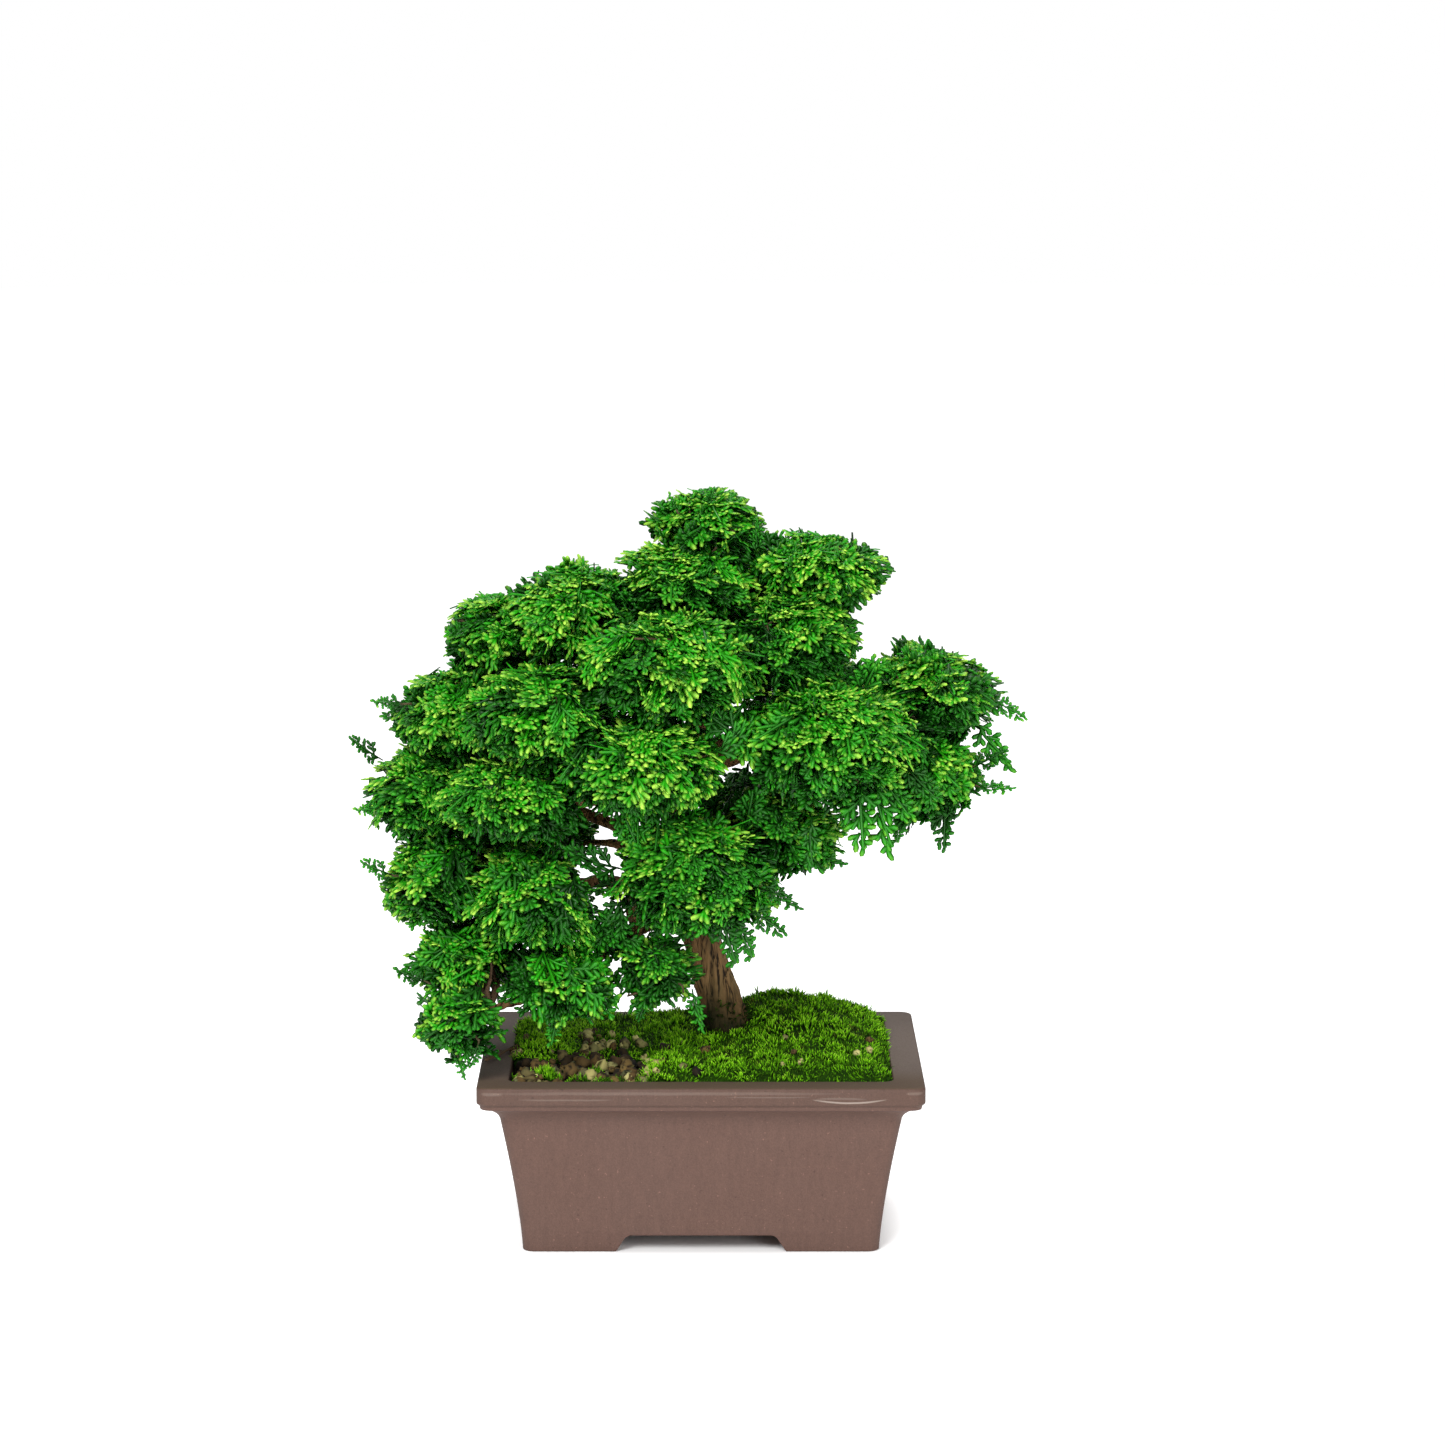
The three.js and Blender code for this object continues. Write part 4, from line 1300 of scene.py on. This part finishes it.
def add_shoot(pile, place, face, settings, rng, shade_shift=0.0):
    """A tuft of three to five tapering blades."""
    patch = noise.noise(Vector(place) * 70)
    clump = noise.noise(Vector(place) * 190)
    swell = noise.noise(Vector(place) * 95)
    flow = noise.noise_vector(Vector(place) * 85)
    place = place + face * max(-0.5, clump * 1.6 + swell * 2.8 - 0.7) * MM
    height = settings.shoot_height * (1 + 0.3 * patch + 0.45 * clump) * rng.uniform(0.6, 1.3)
    tint = np.clip(0.6 + 0.6 * patch + 0.3 * clump + rng.normal(0, 0.14) + shade_shift, 0.03, 0.97)
    for _ in range(rng.integers(3, 6)):
        lean = unit(face * 0.65 + UP * 0.2 + np.array(flow) * 1.1 + rng.normal(0, 0.5, 3))
        tip = place + lean * height * rng.uniform(0.7, 1.2)
        foot = place + rng.normal(0, 0.3 * MM, 3) - face * 0.5 * MM
        across = unit(np.cross(lean, rng.normal(0, 1, 3))) * 0.27 * MM
        over = np.cross(lean, across)
        waist = foot + (tip - foot) * 0.55
        ring = [across, -0.5 * across + 0.87 * over, -0.5 * across - 0.87 * over]
        points = [foot + r * 0.7 for r in ring] + [waist + r for r in ring] + [tip]
        grown = np.clip(0.66 + 0.6 * clump + 0.4 * swell + shade_shift + rng.normal(0, 0.2), 0.15, 1.0)
        marks = [(0.1, tint - 0.01), (0.1, tint), (0.12, tint + 0.01)]
        marks += [(0.6 * grown, tint - 0.01), (0.6 * grown, tint), (0.62 * grown, tint + 0.01), (grown, tint)]
        quads = [[0, 1, 4, 3], [1, 2, 5, 4], [2, 0, 3, 5]]
        triangles = [[3, 4, 6], [4, 5, 6], [5, 3, 6], [2, 1, 0]]
        pile.add(points, np.clip(marks, 0.002, 0.998), quads, triangles)


def lump_template(rng, rings=2):
    made = bmesh.new()
    bmesh.ops.create_icosphere(made, subdivisions=rings, radius=1.0)
    offset = Vector(rng.uniform(-50, 50, 3))
    marks = []
    for vert in made.verts:
        direction = vert.co.normalized()
        swell = 1 + 0.4 * noise.noise(direction * 1.5 + offset) + 0.42 * noise.noise(direction * 3.4 + offset)
        marks.append(np.clip(0.6 + 1.1 * noise.noise(direction * 5.5 + offset), 0.02, 0.98))
        vert.co = direction * swell
    made.verts.index_update()
    points = np.array([vert.co[:] for vert in made.verts])
    triangles = np.array([[vert.index for vert in face.verts] for face in made.faces])
    made.free()
    return points, np.array(marks), triangles


def add_lump(pile, template, centre, radii, tint, rng):
    points, marks, triangles = template
    turn = rng.normal(0, 1, (3, 3))
    turn, _ = np.linalg.qr(turn)
    if np.linalg.det(turn) < 0:
        turn[:, 0] = -turn[:, 0]
    placed = centre + (points * radii) @ turn.T
    v = tint + 0.02 * (points[:, 0])
    pile.add(placed, np.clip(np.stack([marks, v], -1), 0.002, 0.998), None, triangles)


def build_grit(settings):
    """Loose granules on the bare soil, and a few on the moss."""
    rng = np.random.default_rng(37)
    kinds = [lump_template(rng) for _ in range(6)]
    names = granule_names()
    low, high = bare_patch()
    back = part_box("moss_left_cushion")[0].y
    pile = Pile()
    for name in names:
        box_low, box_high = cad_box(name)
        centre, half = (box_low + box_high) / 2, (box_high - box_low) / 2
        add_lump(pile, kinds[rng.integers(6)], centre, half * 0.95, rng.beta(1.6, 1.3), rng)
    surface = low[2]
    for index in range(settings.grit_count):
        size = settings.grit_size / 2 * rng.choice([0.35, 0.5, 0.75, 1.0], p=[0.3, 0.28, 0.22, 0.2])
        x = rng.uniform(low[0] + size, high[0] - size + 4 * MM)
        y = rng.uniform(low[1] + size, back + 2 * MM)
        layer = rng.choice([0.0, 0.5, 1.0], p=[0.4, 0.3, 0.3])
        z = surface + size * 0.9 + layer * 3.4 * MM
        half = size * rng.uniform(0.8, 1.15, 3)
        front = 1 - (y - low[1]) / (back - low[1])
        # Granules of the lowest layer are painted darker: painted shade under the layers above them.
        pale = rng.beta(1.1, 1.9) * 0.68 + 0.55 * front * rng.random() - (0.4 if layer == 0 else 0.0)
        add_lump(pile, kinds[rng.integers(6)], np.array([x, y, z]), half, max(0.02, pale), rng)
    add_grit_on_moss(pile, kinds, "moss_mound", 24, rng)
    add_grit_on_moss(pile, kinds, "moss_back_cushion", 34, rng)
    add_grit_on_moss(pile, kinds, "moss_left_cushion", 8, rng)
    piece = mesh_object("loose_grit", *pile.arrays())
    settle(piece, grit_material(), names)


def add_grit_on_moss(pile, kinds, name, count, rng):
    """Bits lying in the moss, more of them to the front and left."""
    bed = node_tree(name)
    low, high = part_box(name)
    for _ in range(count):
        x = low.x + (high.x - low.x) * rng.random() ** 3.2
        y = low.y + 4 * MM + (high.y - low.y) * 0.45 * rng.random() ** 1.6
        hit = bed.ray_cast(Vector((x, y, high.z + MM)), Vector((0, 0, -1)))[0]
        if hit is None:
            continue
        size = rng.uniform(1.3, 2.9) * MM
        centre = np.array(hit) + UP * 1.1 * MM
        kind = kinds[rng.integers(6)]
        add_lump(pile, kind, centre, size * rng.uniform(0.75, 1.1, 3), rng.beta(1.5, 1.3), rng)


def build_twig():
    """The dead twig on the rim."""
    rng = np.random.default_rng(5)
    low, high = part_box("fallen_twig")
    start = np.array([low.x, low.y, low.z + 0.9 * MM])
    end = np.array([high.x, high.y, low.z + 0.9 * MM])
    share = np.linspace(0, 1, 9)
    path = start + (end - start) * share[:, None]
    path[:, 0] += 0.5 * MM * np.sin(share * 5)
    path[:, 2] += 0.15 * MM * np.sin(share * 11)
    radii = 0.9 * MM * (1 - 0.35 * share) * (1 + 0.18 * np.sin(share * 23))
    pile = Pile()
    tube(pile, path, radii, 8, np.linspace(0.05, 0.4, 9), 0.35)
    fork = path[5]
    branch = [fork, fork + np.array([-1.6, 2.0, 0.3]) * MM, fork + np.array([-2.6, 4.2, 0.5]) * MM]
    tube(pile, branch, [0.5 * MM, 0.4 * MM, 0.28 * MM], 6, [0.1, 0.25, 0.4], 0.3)
    piece = mesh_object("dead_twig", *pile.arrays())
    settle(piece, twig_material(bpy.context.scene.bonsai_wood), ["fallen_twig"])


def dress_hidden_nodes():
    """The soil, drain screens and wires keep their CAD shape and get real finishes."""
    looks = {"soil": soil_material(), "drain_screen": mesh_plastic_material(), "screen_wire": wire_material()}
    for name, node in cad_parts.items():
        for start, material in looks.items():
            if name.startswith(start):
                node.data.materials.clear()
                node.data.materials.append(material)


# ---------------------------------------------------------------- studio


def add_light(name, place, target, size, power, colour=(1, 1, 1)):
    data = bpy.data.lights.new(name, "AREA")
    data.shape = "SQUARE"
    data.size = size
    data.energy = power
    data.color = colour
    light = bpy.data.objects.new(name, data)
    light.location = place
    light.rotation_euler = (Vector(target) - Vector(place)).to_track_quat("-Z", "Y").to_euler()
    bpy.context.scene.collection.objects.link(light)


def build_stage():
    """A white floor and backdrop, three soft lights and the camera."""
    scene = bpy.context.scene
    made = bmesh.new()
    bmesh.ops.create_circle(made, cap_ends=True, segments=96, radius=6.0)
    floor = scratch_object("studio_floor", made)
    floor.location = (POT_X, POT_Y, 0)
    paper = Nodes("white_paper")
    speckle = paper.noise(30, 2, 0.5)
    paper.colour(paper.ramp(speckle, (0.0, 0.86), (1.0, 0.88)))
    paper.set(Roughness=0.9, Specular_IOR_Level=0.1, Emission_Color=(1, 1, 1, 1))
    # The sheet glows away from the pot: painted light, cut off under the pot as painted shade.
    paper.link(away_from_pot(paper), paper.shader.inputs["Emission Strength"])
    floor.data.materials.append(paper.material)
    scene.world = studio_world(0.34)
    scene.view_settings.view_transform = "Standard"
    middle = Vector((POT_X, POT_Y, 0.19))
    add_light("key_left", middle + Vector((-0.6, -1.5, 1.1)), middle, 0.8, 40)
    add_light("key_right", middle + Vector((0.9, -1.6, 0.5)), middle, 0.9, 19)
    add_light("back_top", middle + Vector((0.1, 1.0, 1.4)), middle, 0.8, 12)
    camera_data = bpy.data.cameras.new("camera")
    camera = bpy.data.objects.new("camera", camera_data)
    camera_data.lens = CAMERA_LENS
    camera_data.sensor_width = 36
    camera_data.shift_x = 0.0149
    camera.location = (POT_X, POT_Y - CAMERA_BACK, CAMERA_HEIGHT)
    camera.rotation_euler = (math.radians(90 - CAMERA_TILT), 0, 0)
    camera_data.clip_end = 50
    scene.collection.objects.link(camera)
    scene.camera = camera


def away_from_pot(paper):
    """Strength of the sheet's glow, which is painted light: none under the pot, which leaves painted shade
    there, full a little way out from its sides.
    """
    x, y, _ = paper.split(paper.place())
    across = paper.math("DIVIDE", paper.math("ABSOLUTE", x), (POT_HIGH.x - POT_LOW.x) / 2)
    back = paper.math("DIVIDE", paper.math("ABSOLUTE", y), (POT_HIGH.y - POT_LOW.y) / 2)
    return paper.ramp(paper.math("MAXIMUM", across, back), (0.72, 0.0), (0.95, 0.7))


def studio_world(strength):
    """A pure white backdrop that lights the room a little less than it shows."""
    world = bpy.data.worlds.new("studio")
    world.use_nodes = True
    tree = world.node_tree
    glow = tree.nodes["Background"]
    glow.inputs["Color"].default_value = (1, 1, 1, 1)
    seen = tree.nodes.new("ShaderNodeLightPath").outputs["Is Camera Ray"]
    level = tree.nodes.new("ShaderNodeMapRange")
    level.inputs["To Min"].default_value = strength
    level.inputs["To Max"].default_value = 1.0
    tree.links.new(seen, level.inputs["Value"])
    tree.links.new(level.outputs["Result"], glow.inputs["Strength"])
    return world


# ---------------------------------------------------------------- operators and panel


class BONSAI_OT_pot(bpy.types.Operator):
    """Build the stoneware pot"""

    bl_idname = "bonsai.pot"
    bl_label = "Pot"

    def execute(self, context):
        build_pot(context.scene.bonsai_pot)
        return {"FINISHED"}


class BONSAI_OT_wood(bpy.types.Operator):
    """Build the trunk and branches with their bark"""

    bl_idname = "bonsai.wood"
    bl_label = "Trunk and branches"

    def execute(self, context):
        build_wood(context.scene.bonsai_wood)
        return {"FINISHED"}


class BONSAI_OT_leaves(bpy.types.Operator):
    """Build the leaf sprays and the fine twigs that carry them"""

    bl_idname = "bonsai.leaves"
    bl_label = "Leaf sprays"

    def execute(self, context):
        build_leaves(context.scene.bonsai_leaf)
        return {"FINISHED"}


class BONSAI_OT_moss(bpy.types.Operator):
    """Build the moss cushions"""

    bl_idname = "bonsai.moss"
    bl_label = "Moss"

    def execute(self, context):
        build_moss(context.scene.bonsai_ground)
        return {"FINISHED"}


class BONSAI_OT_grit(bpy.types.Operator):
    """Build the loose grit and the dead twig"""

    bl_idname = "bonsai.grit"
    bl_label = "Grit and twig"

    def execute(self, context):
        build_grit(context.scene.bonsai_ground)
        build_twig()
        return {"FINISHED"}


class BONSAI_OT_fittings(bpy.types.Operator):
    """Give the soil, drain screens and wires their finishes"""

    bl_idname = "bonsai.fittings"
    bl_label = "Soil and drain fittings"

    def execute(self, context):
        dress_hidden_nodes()
        return {"FINISHED"}


class BONSAI_OT_stage(bpy.types.Operator):
    """Build the floor, lights and camera"""

    bl_idname = "bonsai.stage"
    bl_label = "Studio"

    def execute(self, context):
        build_stage()
        return {"FINISHED"}


OPERATORS = (
    BONSAI_OT_stage,
    BONSAI_OT_pot,
    BONSAI_OT_fittings,
    BONSAI_OT_wood,
    BONSAI_OT_leaves,
    BONSAI_OT_moss,
    BONSAI_OT_grit,
)
SETTINGS = {
    "bonsai_pot": PotSettings,
    "bonsai_leaf": LeafSettings,
    "bonsai_wood": WoodSettings,
    "bonsai_ground": GroundSettings,
}


class BONSAI_PT_panel(bpy.types.Panel):
    """Lists the pieces of the bonsai and their sizes"""

    bl_label = "Bonsai"
    bl_idname = "BONSAI_PT_panel"
    bl_space_type = "VIEW_3D"
    bl_region_type = "UI"
    bl_category = "Bonsai"

    def draw(self, context):
        for operator in OPERATORS:
            self.layout.operator(operator.bl_idname)
        for name, group in SETTINGS.items():
            column = self.layout.column()
            for key in group.__annotations__:
                column.prop(getattr(context.scene, name), key)


def register():
    for kind in (*SETTINGS.values(), *OPERATORS, BONSAI_PT_panel):
        bpy.utils.register_class(kind)
    for name, group in SETTINGS.items():
        setattr(bpy.types.Scene, name, PointerProperty(type=group))


def unregister():
    for name in SETTINGS:
        delattr(bpy.types.Scene, name)
    for kind in reversed((*SETTINGS.values(), *OPERATORS, BONSAI_PT_panel)):
        bpy.utils.unregister_class(kind)


def main():
    register()
    for operator in OPERATORS:
        group, name = operator.bl_idname.split(".")
        getattr(getattr(bpy.ops, group), name)()


if __name__ == "__main__":
    main()
